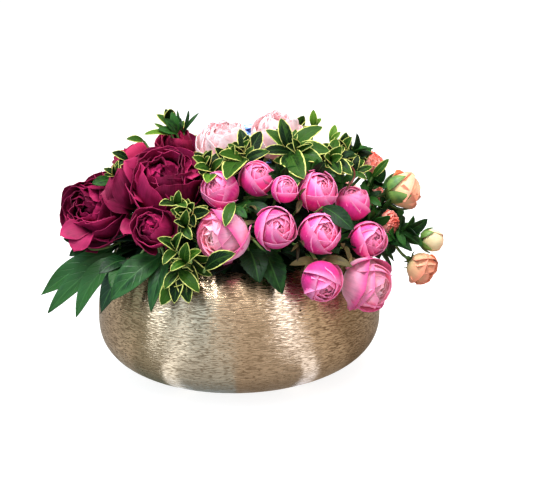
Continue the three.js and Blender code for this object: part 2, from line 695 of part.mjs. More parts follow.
/** The leaves of a sprig, spiralling up its stem and closing towards the tip. */
function sprigLeaves({ at, aim, length, leaves, blade: bladeLength }) {
  const axis = vector(aim).normalize();
  const across = new THREE.Vector3(0.4, 0.3, -0.86).cross(axis).normalize();
  const other = axis.clone().cross(across);
  return range(leaves).map((k) => {
    const share = (k + 0.5) / leaves; // 0 at the lowest leaf and 1 at the tip
    const turn = k * GOLDEN_ANGLE;
    const out = across.clone().multiplyScalar(Math.cos(turn)).addScaledVector(other, Math.sin(turn));
    const pitch = lerp(1.35, 0.35, share);
    const along = axis.clone().multiplyScalar(Math.cos(pitch)).addScaledVector(out, Math.sin(pitch));
    const face = axis.clone().multiplyScalar(Math.sin(pitch)).addScaledVector(out, -Math.cos(pitch));
    const root = vector(at).addScaledVector(axis, share * length);
    return clearLeaf(smallLeaf(bladeLength * lerp(1, 0.78, share)), root, along, face);
  });
}

// ---- Assembly ----

const bowlBody = bowl();
occupy("bowl", bowlBody);
show(centrepiece, "bowl", bowlBody, FINISH.bowl);
const foamBody = foamBlock();
occupy("foam", foamBody);

const blooms = {};
for (const [variety, heads] of Object.entries(HEADS)) {
  heads.forEach((head, index) => {
    const name = `${variety}_${index + 1}`;
    const solid = head.kind === "hydrangea" ? floretHead(head) : petalledHead(head);
    const frame = bloomFrame(head);
    blooms[name] = head;
    occupy(name, solid.transform(frame.elements));
    show(flowers, name, solid, FINISH[COLOURS[variety]], frame);
  });
}

for (const [name, { heads, radius }] of Object.entries(STEMS)) {
  const [first, ...others] = heads.map((head) => blooms[head]);
  const { solid, path } = standingStem(neckOf(first), vector(first.aim).normalize(), radius);
  const pieces = [solid, calyx(first, radius)];
  for (const head of others) {
    const aim = vector(head.aim).normalize();
    pieces.push(branch(path, neckOf(head), aim, 0.8 * radius), calyx(head, radius));
  }
  for (const leaf of LARGE_LEAVES[name] ?? []) pieces.push(...stalkedLeaf(path, leaf));
  const whole = union(pieces);
  occupy(name, whole);
  show(greenery, name, whole, FINISH.stem);
}

SPRIGS.forEach((sprig, index) => {
  const axis = vector(sprig.aim).normalize();
  const tip = vector(sprig.at).addScaledVector(axis, sprig.length);
  const stem = standingStem(vector(sprig.at), axis, SPRIG_RADIUS.stem, [tip]);
  const whole = union([stem.solid, ...sprigLeaves(sprig)]);
  const name = `foliage_sprig_${index + 1}`;
  occupy(name, whole);
  show(greenery, name, whole, FINISH.variegated);
});

const holed = pegs.reduce((block, peg) => block.subtract(socket(peg)), foamBody);
show(centrepiece, "floral_foam", holed, FINISH.foam);

export default centrepiece;
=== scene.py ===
"""A low floral table centerpiece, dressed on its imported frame.

A hammered metal bowl holds floral foam. Spray roses, peonies, a hydrangea and variegated
foliage stand in the foam. Tables are in millimetres and meshes are written in metres.
"""

import logging
import math
import random
from collections.abc import Callable, Iterator
from dataclasses import dataclass, field, replace
from enum import Enum
from itertools import chain, product

import bpy
import numpy as np
from mathutils import Matrix, Quaternion, Vector, noise
from mathutils.bvhtree import BVHTree
from mathutils.geometry import interpolate_bezier


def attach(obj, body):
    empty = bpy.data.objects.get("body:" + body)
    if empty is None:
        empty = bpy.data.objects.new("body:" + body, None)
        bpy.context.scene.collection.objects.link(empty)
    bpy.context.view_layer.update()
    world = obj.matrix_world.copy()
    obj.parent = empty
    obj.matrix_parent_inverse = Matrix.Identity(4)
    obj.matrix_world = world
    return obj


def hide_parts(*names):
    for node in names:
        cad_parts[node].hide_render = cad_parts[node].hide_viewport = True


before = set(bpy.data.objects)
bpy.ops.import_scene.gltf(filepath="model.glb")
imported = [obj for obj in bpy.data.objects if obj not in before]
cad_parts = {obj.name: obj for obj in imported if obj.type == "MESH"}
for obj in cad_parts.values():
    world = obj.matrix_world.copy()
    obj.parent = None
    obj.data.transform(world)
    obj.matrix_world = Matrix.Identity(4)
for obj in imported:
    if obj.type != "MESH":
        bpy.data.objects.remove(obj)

LOG = logging.getLogger("centerpiece")
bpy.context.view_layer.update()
MM = 0.001
ROOT = "root"
UPRIGHT = Vector((0, 0, 1))
GOLDEN_ANGLE = math.pi * (3 - math.sqrt(5))
SEED = 11
GAP = 0.35  # millimetres between the frame's neighbouring solids
WHITE = (1.0, 1.0, 1.0, 1.0)

Point = tuple[float, float, float]
Pair = tuple[float, float]
Strand = tuple[list[Vector], list[float]]  # a stem's points and its radius at each, in millimetres
Socket = bpy.types.NodeSocket
Inputs = bpy.types.NodeInputs
Outputs = bpy.types.NodeOutputs

# ---- Shader graphs ----


def linear(hex_colour: str) -> tuple[float, float, float, float]:
    """A colour as a shader socket takes it.

    Args:
        hex_colour: Six hexadecimal digits, red first.

    Returns:
        Linear red, green, blue and an alpha of 1.
    """
    shares = [int(hex_colour[k : k + 2], 16) / 255 for k in (0, 2, 4)]
    return (*[c / 12.92 if c <= 0.04045 else ((c + 0.055) / 1.055) ** 2.4 for c in shares], 1.0)


@dataclass(frozen=True)
class Effect:
    """A node group that several materials share.

    takes holds its inputs' names with their usual values. gives holds its outputs' names, of which one
    that ends in Colour is a colour and the rest are numbers. fill adds its nodes.
    """

    name: str
    takes: dict[str, object]
    gives: tuple[str, ...]
    fill: Callable[["Graph", Outputs, Inputs], None]

    def tree(self) -> bpy.types.NodeTree:
        """The group, made the first time that it is asked for.

        Returns:
            The one group.
        """
        found = bpy.data.node_groups.get(self.name)
        if found:
            return found
        tree = bpy.data.node_groups.new(self.name, "ShaderNodeTree")
        for label, value in self.takes.items():
            kind = "NodeSocketColor" if isinstance(value, tuple) else "NodeSocketFloat"
            tree.interface.new_socket(label, in_out="INPUT", socket_type=kind).default_value = value
        for label in self.gives:
            kind = "NodeSocketColor" if label.endswith("Colour") else "NodeSocketFloat"
            tree.interface.new_socket(label, in_out="OUTPUT", socket_type=kind)
        given = tree.nodes.new("NodeGroupInput").outputs
        self.fill(Graph(tree), given, tree.nodes.new("NodeGroupOutput").inputs)
        return tree


class Graph:
    """Adds nodes to a shader tree, each joined to the ones before it as it is added."""

    def __init__(self, tree: bpy.types.NodeTree) -> None:
        """Starts on a tree.

        Args:
            tree: The node tree that takes the nodes.
        """
        self.tree = tree

    def put(self, socket: Socket, value: object) -> None:
        """Joins an output to a socket, or sets the socket's own value.

        Args:
            socket: The input socket.
            value: Another node's output socket, or a plain value.
        """
        if isinstance(value, Socket):
            self.tree.links.new(value, socket)
        else:
            socket.default_value = value

    def node(self, kind: str, settings: dict | None = None, **inputs: object) -> bpy.types.Node:
        """Adds a node.

        Args:
            kind: The node's type name, without its leading ShaderNode.
            settings: Properties of the node itself.
            **inputs: Values or sockets by input name, with _ for a space.

        Returns:
            The new node.
        """
        made = self.tree.nodes.new("ShaderNode" + kind)
        for name, value in (settings or {}).items():
            setattr(made, name, value)
        self.fill(made, **inputs)
        return made

    def fill(self, node: bpy.types.Node, **inputs: object) -> None:
        """Sets or joins some of a node's inputs.

        Args:
            node: The node.
            **inputs: Values or sockets by input name, with _ for a space.
        """
        for name, value in inputs.items():
            self.put(node.inputs[name.replace("_", " ")], value)

    def maths(self, operation: str, *values: object) -> Socket:
        """Works out a number.

        Args:
            operation: The Math node's operation.
            *values: Its inputs in order.

        Returns:
            The result's socket.
        """
        made = self.node("Math", {"operation": operation})
        for socket, value in zip(made.inputs, values):
            self.put(socket, value)
        return made.outputs[0]

    def smooth(self, value: Socket, low: float, high: float, start: float = 0.0, end: float = 1.0) -> Socket:
        """Eases from start to end while a value runs from low to high.

        Args:
            value: The socket that is read.
            low: Where the change starts.
            high: Where it ends.
            start: The result before low.
            end: The result after high.

        Returns:
            The result's socket.
        """
        made = self.node("MapRange", {"interpolation_type": "SMOOTHSTEP"}, Value=value)
        for name, number in (("From Min", low), ("From Max", high), ("To Min", start), ("To Max", end)):
            made.inputs[name].default_value = number
        return made.outputs[0]

    def mix(self, share: Socket, first: object, second: object) -> Socket:
        """Mixes two colours.

        Args:
            share: How much of the second shows.
            first: A colour or a colour socket.
            second: A colour or a colour socket.

        Returns:
            The mixed colour's socket.
        """
        made = self.node("Mix", {"data_type": "RGBA"}, Factor=share)
        self.put(made.inputs[6], first)
        self.put(made.inputs[7], second)
        return made.outputs[2]

    def leaned(self, value: Socket, source: Socket, slope: float, shift: float) -> Socket:
        """Adds slope times another value, and a shift, to a value.

        Args:
            value: The value that is changed.
            source: The value that it leans on.
            slope: How much of the source is added.
            shift: What else is added.

        Returns:
            The sum's socket.
        """
        return self.maths("ADD", value, self.maths("MULTIPLY_ADD", source, slope, shift))

    def around_middle(self, source: Socket, strength: object, base: object) -> Socket:
        """Adds a value's difference from a half, times a strength, to a base.

        Args:
            source: The value from 0 to 1.
            strength: How much of its difference is added.
            base: What it is added to.

        Returns:
            The sum's socket.
        """
        return self.maths("MULTIPLY_ADD", self.maths("SUBTRACT", source, 0.5), strength, base)

    def bump(self, height: Socket, strength: float, distance: float) -> Socket:
        """A normal that makes a surface look rough.

        Args:
            height: The relief's height from 0 to 1.
            strength: How much of it shows.
            distance: Its depth in metres.

        Returns:
            The normal's socket.
        """
        return self.node("Bump", Strength=strength, Distance=distance, Height=height).outputs[0]

    def group(self, effect: Effect, **inputs: object) -> Outputs:
        """Places an effect's node group.

        Args:
            effect: The effect.
            **inputs: Its inputs by name.

        Returns:
            The group's outputs.
        """
        return self.node("Group", {"node_tree": effect.tree()}, **inputs).outputs

    def stretched(self, source: Socket, scale: Point) -> Socket:
        """Scales a coordinate along each axis.

        Args:
            source: The coordinate's socket.
            scale: The factor along each axis.

        Returns:
            The scaled coordinate's socket.
        """
        return self.node("Mapping", Vector=source, Scale=scale).outputs[0]

    def speckle(self, source: Socket, scale: float, detail: float = 2.0) -> Socket:
        """Soft random values from 0 to 1 about 0.5.

        Args:
            source: The coordinate's socket.
            scale: Spots in a unit of the coordinate.
            detail: How many finer layers are added.

        Returns:
            The value's socket.
        """
        return self.node("TexNoise", Vector=source, Scale=scale, Detail=detail).outputs[0]

    def attribute(self, name: str) -> Socket:
        """A number that is kept on the mesh.

        Args:
            name: The attribute's name.

        Returns:
            The number's socket.
        """
        return self.node("Attribute", {"attribute_name": name}).outputs["Fac"]

    def blade_place(self) -> tuple[Socket, Socket, Socket]:
        """Where a point lies on a petal or leaf.

        Returns:
            The flat coordinate, the distance from the midrib as 0 to 1, and the share of the length.
        """
        flat = self.node("UVMap").outputs[0]
        parts = self.node("SeparateXYZ", Vector=flat)
        centred = self.maths("MULTIPLY_ADD", parts.outputs[0], 2.0, -1.0)
        return flat, self.maths("ABSOLUTE", centred), parts.outputs[1]


def fill_petal(graph: Graph, given: Outputs, result: Inputs) -> None:
    """Colours a petal from its foot to its lip, with fine veins and a tint of its own. The foot colour is
    partly painted shade and the lip colour partly a painted highlight.

    Args:
        graph: The group's graph.
        given: The group's inputs, as sockets to read.
        result: The group's outputs, as sockets to feed.
    """
    flat, aside, along = graph.blade_place()
    # partly painted shade: the foot colour is the petal's own base tone, made darker in the pink and burgundy
    # finishes as shade deep in the bloom
    colour = graph.mix(graph.smooth(along, 0.1, 0.62), given["Foot"], given["Body"])
    # partly a painted highlight: the lip colour along the tip and the side edges is the petal's own rim tone,
    # and where it is lighter than the body it is partly a highlight
    edge = graph.maths("MAXIMUM", graph.smooth(along, 0.74, 1.0), graph.smooth(aside, 0.78, 1.1, 0.0, 0.7))
    colour = graph.mix(edge, colour, given["Lip"])
    colour = graph.mix(graph.attribute("depth"), colour, given["Heart"])
    fan = graph.speckle(graph.stretched(flat, (34.0, 2.2, 1.0)), 1.0, 3.0)
    patch = graph.speckle(graph.node("TexCoord").outputs["Object"], 90.0, 3.0)
    shade = graph.around_middle(fan, given["Veins"], 1.0)
    shade = graph.around_middle(patch, given["Uneven"], shade)
    shade = graph.around_middle(graph.attribute("tint"), given["Own"], shade)
    graph.put(result["Colour"], graph.node("HueSaturation", Color=colour, Value=shade).outputs[0])
    graph.put(result["Height"], fan)


def fill_veins(graph: Graph, given: Outputs, result: Inputs) -> None:
    """Draws the midrib and side veins of a leaf as masks and a height.

    Args:
        graph: The group's graph.
        given: The group's inputs, as sockets to read.
        result: The group's outputs, as sockets to feed.
    """
    _, aside, along = graph.blade_place()
    rib = graph.smooth(aside, 0.0, 0.11, 1.0, 0.0)
    bent = graph.maths("MULTIPLY", graph.maths("POWER", aside, 0.8), given["Slant"])
    place = graph.maths("SUBTRACT", along, graph.maths("MULTIPLY", bent, 0.3))
    phase = graph.maths("MULTIPLY", place, given["Pairs"])
    wave = graph.maths("ABSOLUTE", graph.maths("SINE", graph.maths("MULTIPLY", phase, math.pi)))
    fade = graph.smooth(aside, 0.75, 1.0, 1.0, 0.0)
    side = graph.maths("MULTIPLY", graph.smooth(wave, 0.0, 0.35, 1.0, 0.0), fade)
    graph.put(result["Rib"], rib)
    graph.put(result["Side"], side)
    graph.put(result["Height"], graph.maths("MULTIPLY", graph.maths("MAXIMUM", rib, side), -1.0))


PETAL_COLOURS = Effect(
    "petal colouring",
    dict(Foot=WHITE, Body=WHITE, Lip=WHITE, Heart=WHITE, Veins=0.2, Uneven=0.2, Own=0.3),
    ("Colour", "Height"),
    fill_petal,
)
LEAF_VEINS = Effect("leaf veins", dict(Pairs=9.0, Slant=0.9), ("Rib", "Side", "Height"), fill_veins)

# ---- Finishes ----


@dataclass(frozen=True)
class Finish:
    """A surface's name, and how its material is started once and then reused."""

    name: str
    roughness: float = 0.5

    def material(self) -> bpy.types.Material:
        """The material of this finish.

        Returns:
            The one material, made the first time.
        """
        found = bpy.data.materials.get(self.name)
        if found:
            return found
        made = bpy.data.materials.new(self.name)
        made.use_nodes = True
        surface = made.node_tree.nodes["Principled BSDF"]
        surface.inputs["Roughness"].default_value = self.roughness
        self.dress(Graph(made.node_tree), surface)
        return made

    def dress(self, graph: Graph, surface: bpy.types.Node) -> None:
        """Adds what this kind of finish has.

        Args:
            graph: The material's graph.
            surface: Its Principled BSDF.
        """


@dataclass(frozen=True)
class PetalFinish(Finish):
    """Petals: colours at the foot, the body, the lip and in the bloom's heart; the foot holds some painted
    shade, the lip some painted highlight, and light sets a painted glow.
    """

    foot: str = "ffffff"
    body: str = "ffffff"
    lip: str = "ffffff"
    heart: str = "ffffff"
    veins: float = 0.2
    uneven: float = 0.25
    own: float = 0.34
    sheen: float = 0.2
    glow: float = 0.1
    # painted glow: how strongly the petal emits its own colour, to lift its shade
    light: float = 0.0
    gloss: float = 0.16

    def dress(self, graph: Graph, surface: bpy.types.Node) -> None:
        """Colours a petal.

        Args:
            graph: The material's graph.
            surface: Its Principled BSDF.
        """
        colours = {"Foot": self.foot, "Body": self.body, "Lip": self.lip, "Heart": self.heart}
        linears = {name: linear(colour) for name, colour in colours.items()}
        shade = graph.group(PETAL_COLOURS, **linears, Veins=self.veins, Uneven=self.uneven, Own=self.own)
        graph.fill(
            surface,
            Base_Color=shade["Colour"],
            Normal=graph.bump(shade["Height"], 0.25, 0.0004),
            Sheen_Weight=self.sheen,
            Sheen_Roughness=0.4,
            Specular_IOR_Level=self.gloss,
            Subsurface_Weight=self.glow,
            Subsurface_Scale=0.012 * self.glow,
            Subsurface_Radius=(1.0, 0.5, 0.5),
        )
        # painted glow: the petal emits its own colour, so its shaded parts look lit
        if self.light:
            graph.fill(surface, Emission_Color=shade["Colour"], Emission_Strength=self.light)


@dataclass(frozen=True)
class LeafFinish(Finish):
    """Leaves: a dark and a light green, their veins, and a pale margin if they have one."""

    dark: str = "1d3d1c"
    light: str = "3a6b2c"
    vein: str = "6d9550"
    margin: str = ""
    edge: float = 0.66
    pairs: float = 9.0
    gloss: float = 0.25

    def dress(self, graph: Graph, surface: bpy.types.Node) -> None:
        """Colours a leaf.

        Args:
            graph: The material's graph.
            surface: Its Principled BSDF.
        """
        flat, aside, along = graph.blade_place()
        veins = graph.group(LEAF_VEINS, Pairs=self.pairs, Slant=0.9)
        patch = graph.speckle(graph.stretched(flat, (2.4, 3.4, 1.0)), 1.6, 3.0)
        place = graph.leaned(patch, graph.attribute("tint"), 0.9, -0.45)
        if self.margin:
            place = graph.leaned(place, along, 0.5, -0.3)
            streak = graph.speckle(graph.stretched(flat, (13.0, 1.3, 1.0)), 1.0, 3.0)
            place = graph.leaned(place, streak, 0.9, -0.45)
        colour = graph.mix(graph.smooth(place, 0.3, 0.75), linear(self.dark), linear(self.light))
        share = graph.maths("MULTIPLY", veins["Side"], 0.3 if self.margin else 0.14)
        share = graph.maths("MAXIMUM", share, graph.maths("MULTIPLY", veins["Rib"], 0.6))
        colour = graph.mix(share, colour, linear(self.vein))
        if self.margin:
            uneven = graph.speckle(graph.stretched(flat, (1.5, 6.0, 1.0)), 1.3, 2.0)
            border = graph.maths("MAXIMUM", aside, graph.smooth(along, 0.84, 1.06, 0.0, 1.2))
            border = graph.leaned(border, uneven, 0.36, -0.18)
            border = graph.leaned(border, along, 0.22, -0.13)
            colour = graph.mix(graph.smooth(border, self.edge, self.edge + 0.08), colour, linear(self.margin))
        graph.fill(
            surface,
            Base_Color=colour,
            Roughness=graph.smooth(patch, 0.3, 0.8, self.roughness - 0.06, self.roughness + 0.1),
            Normal=graph.bump(veins["Height"], 0.4, 0.0006),
            Specular_IOR_Level=self.gloss,
            Subsurface_Weight=0.05,
            Subsurface_Scale=0.002,
        )


@dataclass(frozen=True)
class StemFinish(Finish):
    """Stems, sepals and foam: two colours in soft patches with a fine grain."""

    first: str = "44652f"
    second: str = "6b8a45"
    grain: float = 260.0
    relief: float = 0.3

    def dress(self, graph: Graph, surface: bpy.types.Node) -> None:
        """Colours a stem.

        Args:
            graph: The material's graph.
            surface: Its Principled BSDF.
        """
        place = graph.node("TexCoord").outputs["Object"]
        patch = graph.speckle(place, self.grain * 0.3, 3.0)
        grain = graph.speckle(place, self.grain * 2.0, 2.0)
        colour = graph.mix(graph.smooth(patch, 0.38, 0.62), linear(self.first), linear(self.second))
        graph.fill(surface, Base_Color=colour, Normal=graph.bump(grain, self.relief, 0.0006))


@dataclass(frozen=True)
class MetalFinish(Finish):
    """Hammered metal: champagne, with painted shade and a rougher, duller finish in its grooves, and painted
    shade towards its foot.
    """

    bright: str = "dcc0a0"
    dull_and_foot_shade: str = "a88d6c"
    groove_shade: str = "6b5236"
    spot: str = "3c2f22"

    def dress(self, graph: Graph, surface: bpy.types.Node) -> None:
        """Colours the metal.

        Args:
            graph: The material's graph.
            surface: Its Principled BSDF.
        """
        place = graph.node("TexCoord").outputs["Object"]
        stroke = graph.speckle(graph.stretched(place, (88.0, 88.0, 740.0)), 1.0, 1.0)
        ridge = graph.maths("ABSOLUTE", graph.maths("MULTIPLY_ADD", stroke, 2.0, -1.0))
        patch = graph.speckle(place, 16.0, 4.0)
        spots = graph.speckle(place, 120.0, 1.0)
        # painted shade: the grooves between the hammer strokes are darkened
        colour = graph.mix(graph.smooth(ridge, 0.0, 0.2, 0.8, 0.0), linear(self.bright), linear(self.groove_shade))
        colour = graph.mix(graph.smooth(patch, 0.5, 0.8, 0.0, 0.5), colour, linear(self.dull_and_foot_shade))
        # painted shade: the metal darkens towards the foot, into the same colour as the duller patches
        height = graph.node("SeparateXYZ", Vector=place).outputs[2]
        colour = graph.mix(graph.smooth(height, 0.0, 0.06, 0.75, 0.0), colour, linear(self.dull_and_foot_shade))
        colour = graph.mix(graph.smooth(spots, 0.77, 0.79), colour, linear(self.spot))
        graph.fill(
            surface,
            Base_Color=colour,
            Metallic=1.0,
            Roughness=graph.smooth(ridge, 0.0, 0.3, self.roughness + 0.16, self.roughness - 0.04),
            Anisotropic=0.9,
            Anisotropic_Rotation=0.25,
            Normal=graph.bump(graph.smooth(ridge, 0.0, 0.5), 0.9, 0.00015),
        )


# the darker foot is partly painted shade deep in the bloom, and the paler lip partly a painted highlight
PINK = PetalFinish(
    "pink rose outside", 0.5, foot="c01f66", body="e03488", lip="f48cba", heart="f488aa", veins=0.4,
    uneven=0.6, own=0.6, sheen=0.06,
)
# painted glow: light=0.08 makes these pale petals emit their own colour
PALE_PINK = replace(
    PINK, name="pale pink rose outside", foot="fbd8dc", body="fbacc8", lip="e65a98", heart="fcccd2",
    light=0.08,
)
PINK_IN = replace(
    PINK, name="pink rose inside", foot="f8bcc4", body="f79ab8", lip="f27fae", heart="fdd0cf", veins=0.3,
    uneven=0.5, own=0.5,
)
# in the burgundy and crimson finishes the near-black foot is painted shade deep in the bloom, and the
# brighter lip a painted highlight on lit edges
BURGUNDY = PetalFinish(
    "burgundy peony outside", 0.5, foot="22030e", body="741439", lip="94204a", heart="8a1744",
    veins=1.0, uneven=1.25, own=1.1, sheen=0.0, glow=0.03, gloss=0.1,
)
BURGUNDY_IN = replace(
    BURGUNDY, name="burgundy peony inside", foot="1c030b", body="78153b", lip="901f4c", heart="6a1032"
)
CRIMSON = replace(
    BURGUNDY, name="crimson peony outside", foot="340612", body="7c1435", lip="9c2248", heart="86143b",
    uneven=1.1, own=0.9,
)
# painted glow: light makes the blush petals emit their own colour
BLUSH = PetalFinish(
    "blush peony outside", 0.6, foot="e8b0ae", body="efc4c5", lip="f1d6d8", heart="eab2b6", veins=0.1,
    own=0.12, glow=0.6, sheen=0.0, light=0.1,
)
BLUSH_IN = replace(
    BLUSH, name="blush peony inside", foot="e8aeae", body="edbec0", lip="f0d2d5", heart="e8aab0", light=0.12
)
CORAL = PetalFinish(
    "coral rose outside", 0.5, foot="f4a678", body="f78f7c", lip="fbaea0", heart="ee6a58", veins=0.25
)
CORAL_IN = replace(
    CORAL, name="coral rose inside", foot="f07a60", body="f47c6a", lip="fba898", heart="ea5c4a"
)
PEACH = PetalFinish(
    "peach rose outside", 0.5, foot="e6d694", body="f3bd92", lip="f2987a", heart="f3a684", veins=0.2
)
PEACH_IN = replace(
    PEACH, name="peach rose inside", foot="f4cf8c", body="f5b184", lip="f49a76", heart="f08e66"
)
CREAM = PetalFinish(
    "cream bud", 0.5, foot="e2d29c", body="f0dcae", lip="f4c49c", heart="f3d7a4", veins=0.2
)
BLUE = PetalFinish("blue floret", 0.5, foot="c2d2f2", body="7c9fe4", lip="5f88da", heart="7c9fe4", veins=0.3)
PEONY_LEAF = LeafFinish("peony leaf", 0.4, dark="0b2a11", light="24501f", vein="3f6a35", pairs=7.0)
ROSE_LEAF = LeafFinish("rose leaf", 0.45, dark="0c260d", light="25501a", vein="3b642c", pairs=8.0, gloss=0.12)
SHADE_LEAF = LeafFinish("shaded leaf", 0.55, dark="07140a", light="142c10", vein="1f3a18", gloss=0.1)
VARIEGATED = LeafFinish(
    "variegated leaf", 0.42, dark="071a08", light="2a4a12", vein="395a20", margin="c6c86e", edge=0.85,
    gloss=0.08,
)
LIME_LEAF = LeafFinish(
    "lime leaf", 0.42, dark="21440d", light="4c6e1b", vein="60802c", margin="c4c86c", edge=0.86, gloss=0.08,
)
DRY_LEAF = LeafFinish("dry leaf", 0.6, dark="2c2212", light="544a28", vein="665a34")
STEM = StemFinish("green stem", 0.45, first="4b6f2e", second="7c9650")
SEPAL = StemFinish("green sepal", 0.5, first="3f6a2c", second="6d9040")
TWIG = StemFinish("red twig", 0.5, first="5a1f1a", second="7c3a2c")
DRY_SEPAL = StemFinish("dry sepal", 0.7, first="5c4a2c", second="7d7340")
FOAM = StemFinish("wet floral foam", 0.9, first="24361f", second="33492b", grain=700.0, relief=0.8)
HAMMERED = MetalFinish("hammered champagne metal", 0.22)

# ---- Meshes ----

SMOOTHED = math.radians(50)  # faces that meet at less than this are smoothed
LEAF_THICKNESS = 0.6
THIN = 0.5  # the thickness of petals and of the undergrowth's leaves


def deselect_all() -> None:
    """Leaves nothing selected."""
    for item in bpy.context.selected_objects:
        item.select_set(False)


def choose(piece: bpy.types.Object, *others: bpy.types.Object) -> None:
    """Selects a piece alone, or with others that are to be joined to it.

    Args:
        piece: The piece that becomes active.
        *others: More pieces to select.
    """
    deselect_all()
    for item in (piece, *others):
        item.select_set(True)
    bpy.context.view_layer.objects.active = piece


def apply_modifier(piece: bpy.types.Object, kind: str, **settings: object) -> None:
    """Adds a modifier to a piece and applies it.

    Args:
        piece: The piece.
        kind: The modifier's type.
        **settings: Its properties.
    """
    choose(piece)
    bpy.ops.object.modifier_add(type=kind)
    modifier = piece.modifiers[-1]
    for name, value in settings.items():
        setattr(modifier, name, value)
    bpy.ops.object.modifier_apply(modifier=modifier.name)


def seat(piece: bpy.types.Object, slot: str, *nodes: str) -> None:
    """Puts a finished piece on the frame and reports it.

    Args:
        piece: The finished piece, at the origin and unturned.
        slot: The name of a material slot; not used.
        *nodes: The frame's solids that it stands for.
    """
    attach(piece, ROOT)
    if nodes:
        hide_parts(*nodes)
    LOG.info("%s: %d faces for %s", piece.name, len(piece.data.polygons), ", ".join(nodes) or "the gaps")


class Blank:
    """A flat grid that every petal or leaf of a kind is bent from.

    across runs from -1 to 1 over the blade and along from 0 at its foot to 1 at its lip.
    """

    def __init__(self, columns: int, rows: int) -> None:
        """Models the grid.

        Args:
            columns: Faces across it.
            rows: Faces along it.
        """
        deselect_all()
        bpy.ops.mesh.primitive_grid_add(x_subdivisions=columns, y_subdivisions=rows, size=2)
        grid = bpy.context.object
        places = np.empty(len(grid.data.vertices) * 3)
        grid.data.vertices.foreach_get("co", places)
        self.across, reach, _ = places.reshape(-1, 3).T.copy()
        self.along = (reach + 1) / 2
        self.faces = np.array([face.vertices[:] for face in grid.data.polygons])
        bpy.data.objects.remove(grid)


class Sheaf:
    """Blades bent from blanks and gathered into one mesh."""

    def __init__(self) -> None:
        """Starts empty."""
        self.points: list[np.ndarray] = []
        self.faces: list[np.ndarray] = []
        self.flat: list[np.ndarray] = []
        self.tint: list[np.ndarray] = []
        self.depth: list[np.ndarray] = []
        self.finish: list[np.ndarray] = []
        self.count = 0

    def add(
        self, blank: Blank, points: np.ndarray, tint: float = 0.5, depth: float = 0.0, finish: int = 0
    ) -> None:
        """Adds a blade.

        Args:
            blank: The blank that it was bent from.
            points: Its bent points, in millimetres.
            tint: Its own shade, from 0 to 1.
            depth: 0 outside a bloom and 1 in its heart.
            finish: The place of its finish in the mesh's list.
        """
        size = len(points)
        self.points.append(points)
        self.faces.append(blank.faces + self.count)
        self.flat.append(np.stack([(blank.across + 1) / 2, blank.along], axis=1))
        self.tint.append(np.full(size, tint))
        self.depth.append(np.full(size, depth))
        self.finish.append(np.full(len(blank.faces), finish))
        self.count += size

    def piece(self, name: str, finishes: list[Finish], thickness: float, inner: int = 0) -> bpy.types.Object:
        """Writes the mesh, gives the blades their thickness and smooths them.

        Args:
            name: The new piece's name.
            finishes: Its finishes in order.
            thickness: How thick the blades are, in millimetres.
            inner: How many places on in the list the finish of a blade's inner side is.

        Returns:
            The piece.
        """
        mesh = bpy.data.meshes.new(name)
        faces = np.concatenate(self.faces)
        mesh.from_pydata(np.concatenate(self.points) * MM, [], faces)
        corners = np.concatenate(self.flat)[faces.ravel()]
        mesh.uv_layers.new(name="UVMap").data.foreach_set("uv", corners.ravel())
        for label, values in (("tint", self.tint), ("depth", self.depth)):
            kept = mesh.attributes.new(label, "FLOAT", "POINT")
            kept.data.foreach_set("value", np.concatenate(values))
        for finish in finishes:
            mesh.materials.append(finish.material())
        mesh.polygons.foreach_set("material_index", np.concatenate(self.finish))
        piece = bpy.data.objects.new(name, mesh)
        bpy.context.scene.collection.objects.link(piece)
        apply_modifier(piece, "SOLIDIFY", thickness=thickness * MM, offset=-1, material_offset=inner)
        bpy.ops.object.shade_smooth_by_angle(angle=SMOOTHED)
        return piece


def tubes(name: str, routes: list[Strand], finish: Finish) -> bpy.types.Object:
    """Round stems along routes, as one mesh.

    Args:
        name: The new piece's name.
        routes: For each stem its points and its radius at each, in millimetres.
        finish: The stems' finish.

    Returns:
        The piece.
    """
    line = bpy.data.curves.new(name, "CURVE")
    line.dimensions = "3D"
    line.bevel_depth = MM
    line.bevel_resolution = 2
    line.use_fill_caps = True
    for points, radii in routes:
        spline = line.splines.new("POLY")
        spline.points.add(len(points) - 1)
        for knot, point, radius in zip(spline.points, points, radii):
            knot.co = (*(point * MM), 1)
            knot.radius = radius
    piece = bpy.data.objects.new(name, line)
    bpy.context.scene.collection.objects.link(piece)
    line.materials.append(finish.material())
    choose(piece)
    bpy.ops.object.convert(target="MESH")
    bpy.ops.object.shade_smooth_by_angle(angle=SMOOTHED)
    return piece


def joined(name: str, *pieces: bpy.types.Object) -> bpy.types.Object:
    """Joins pieces that grow as one.

    Args:
        name: The joined piece's name.
        *pieces: The pieces, the first of which takes the others in.

    Returns:
        The joined piece.
    """
    choose(*pieces)
    bpy.ops.object.join()
    pieces[0].name = name
    return pieces[0]


# ---- Bowl and foam ----


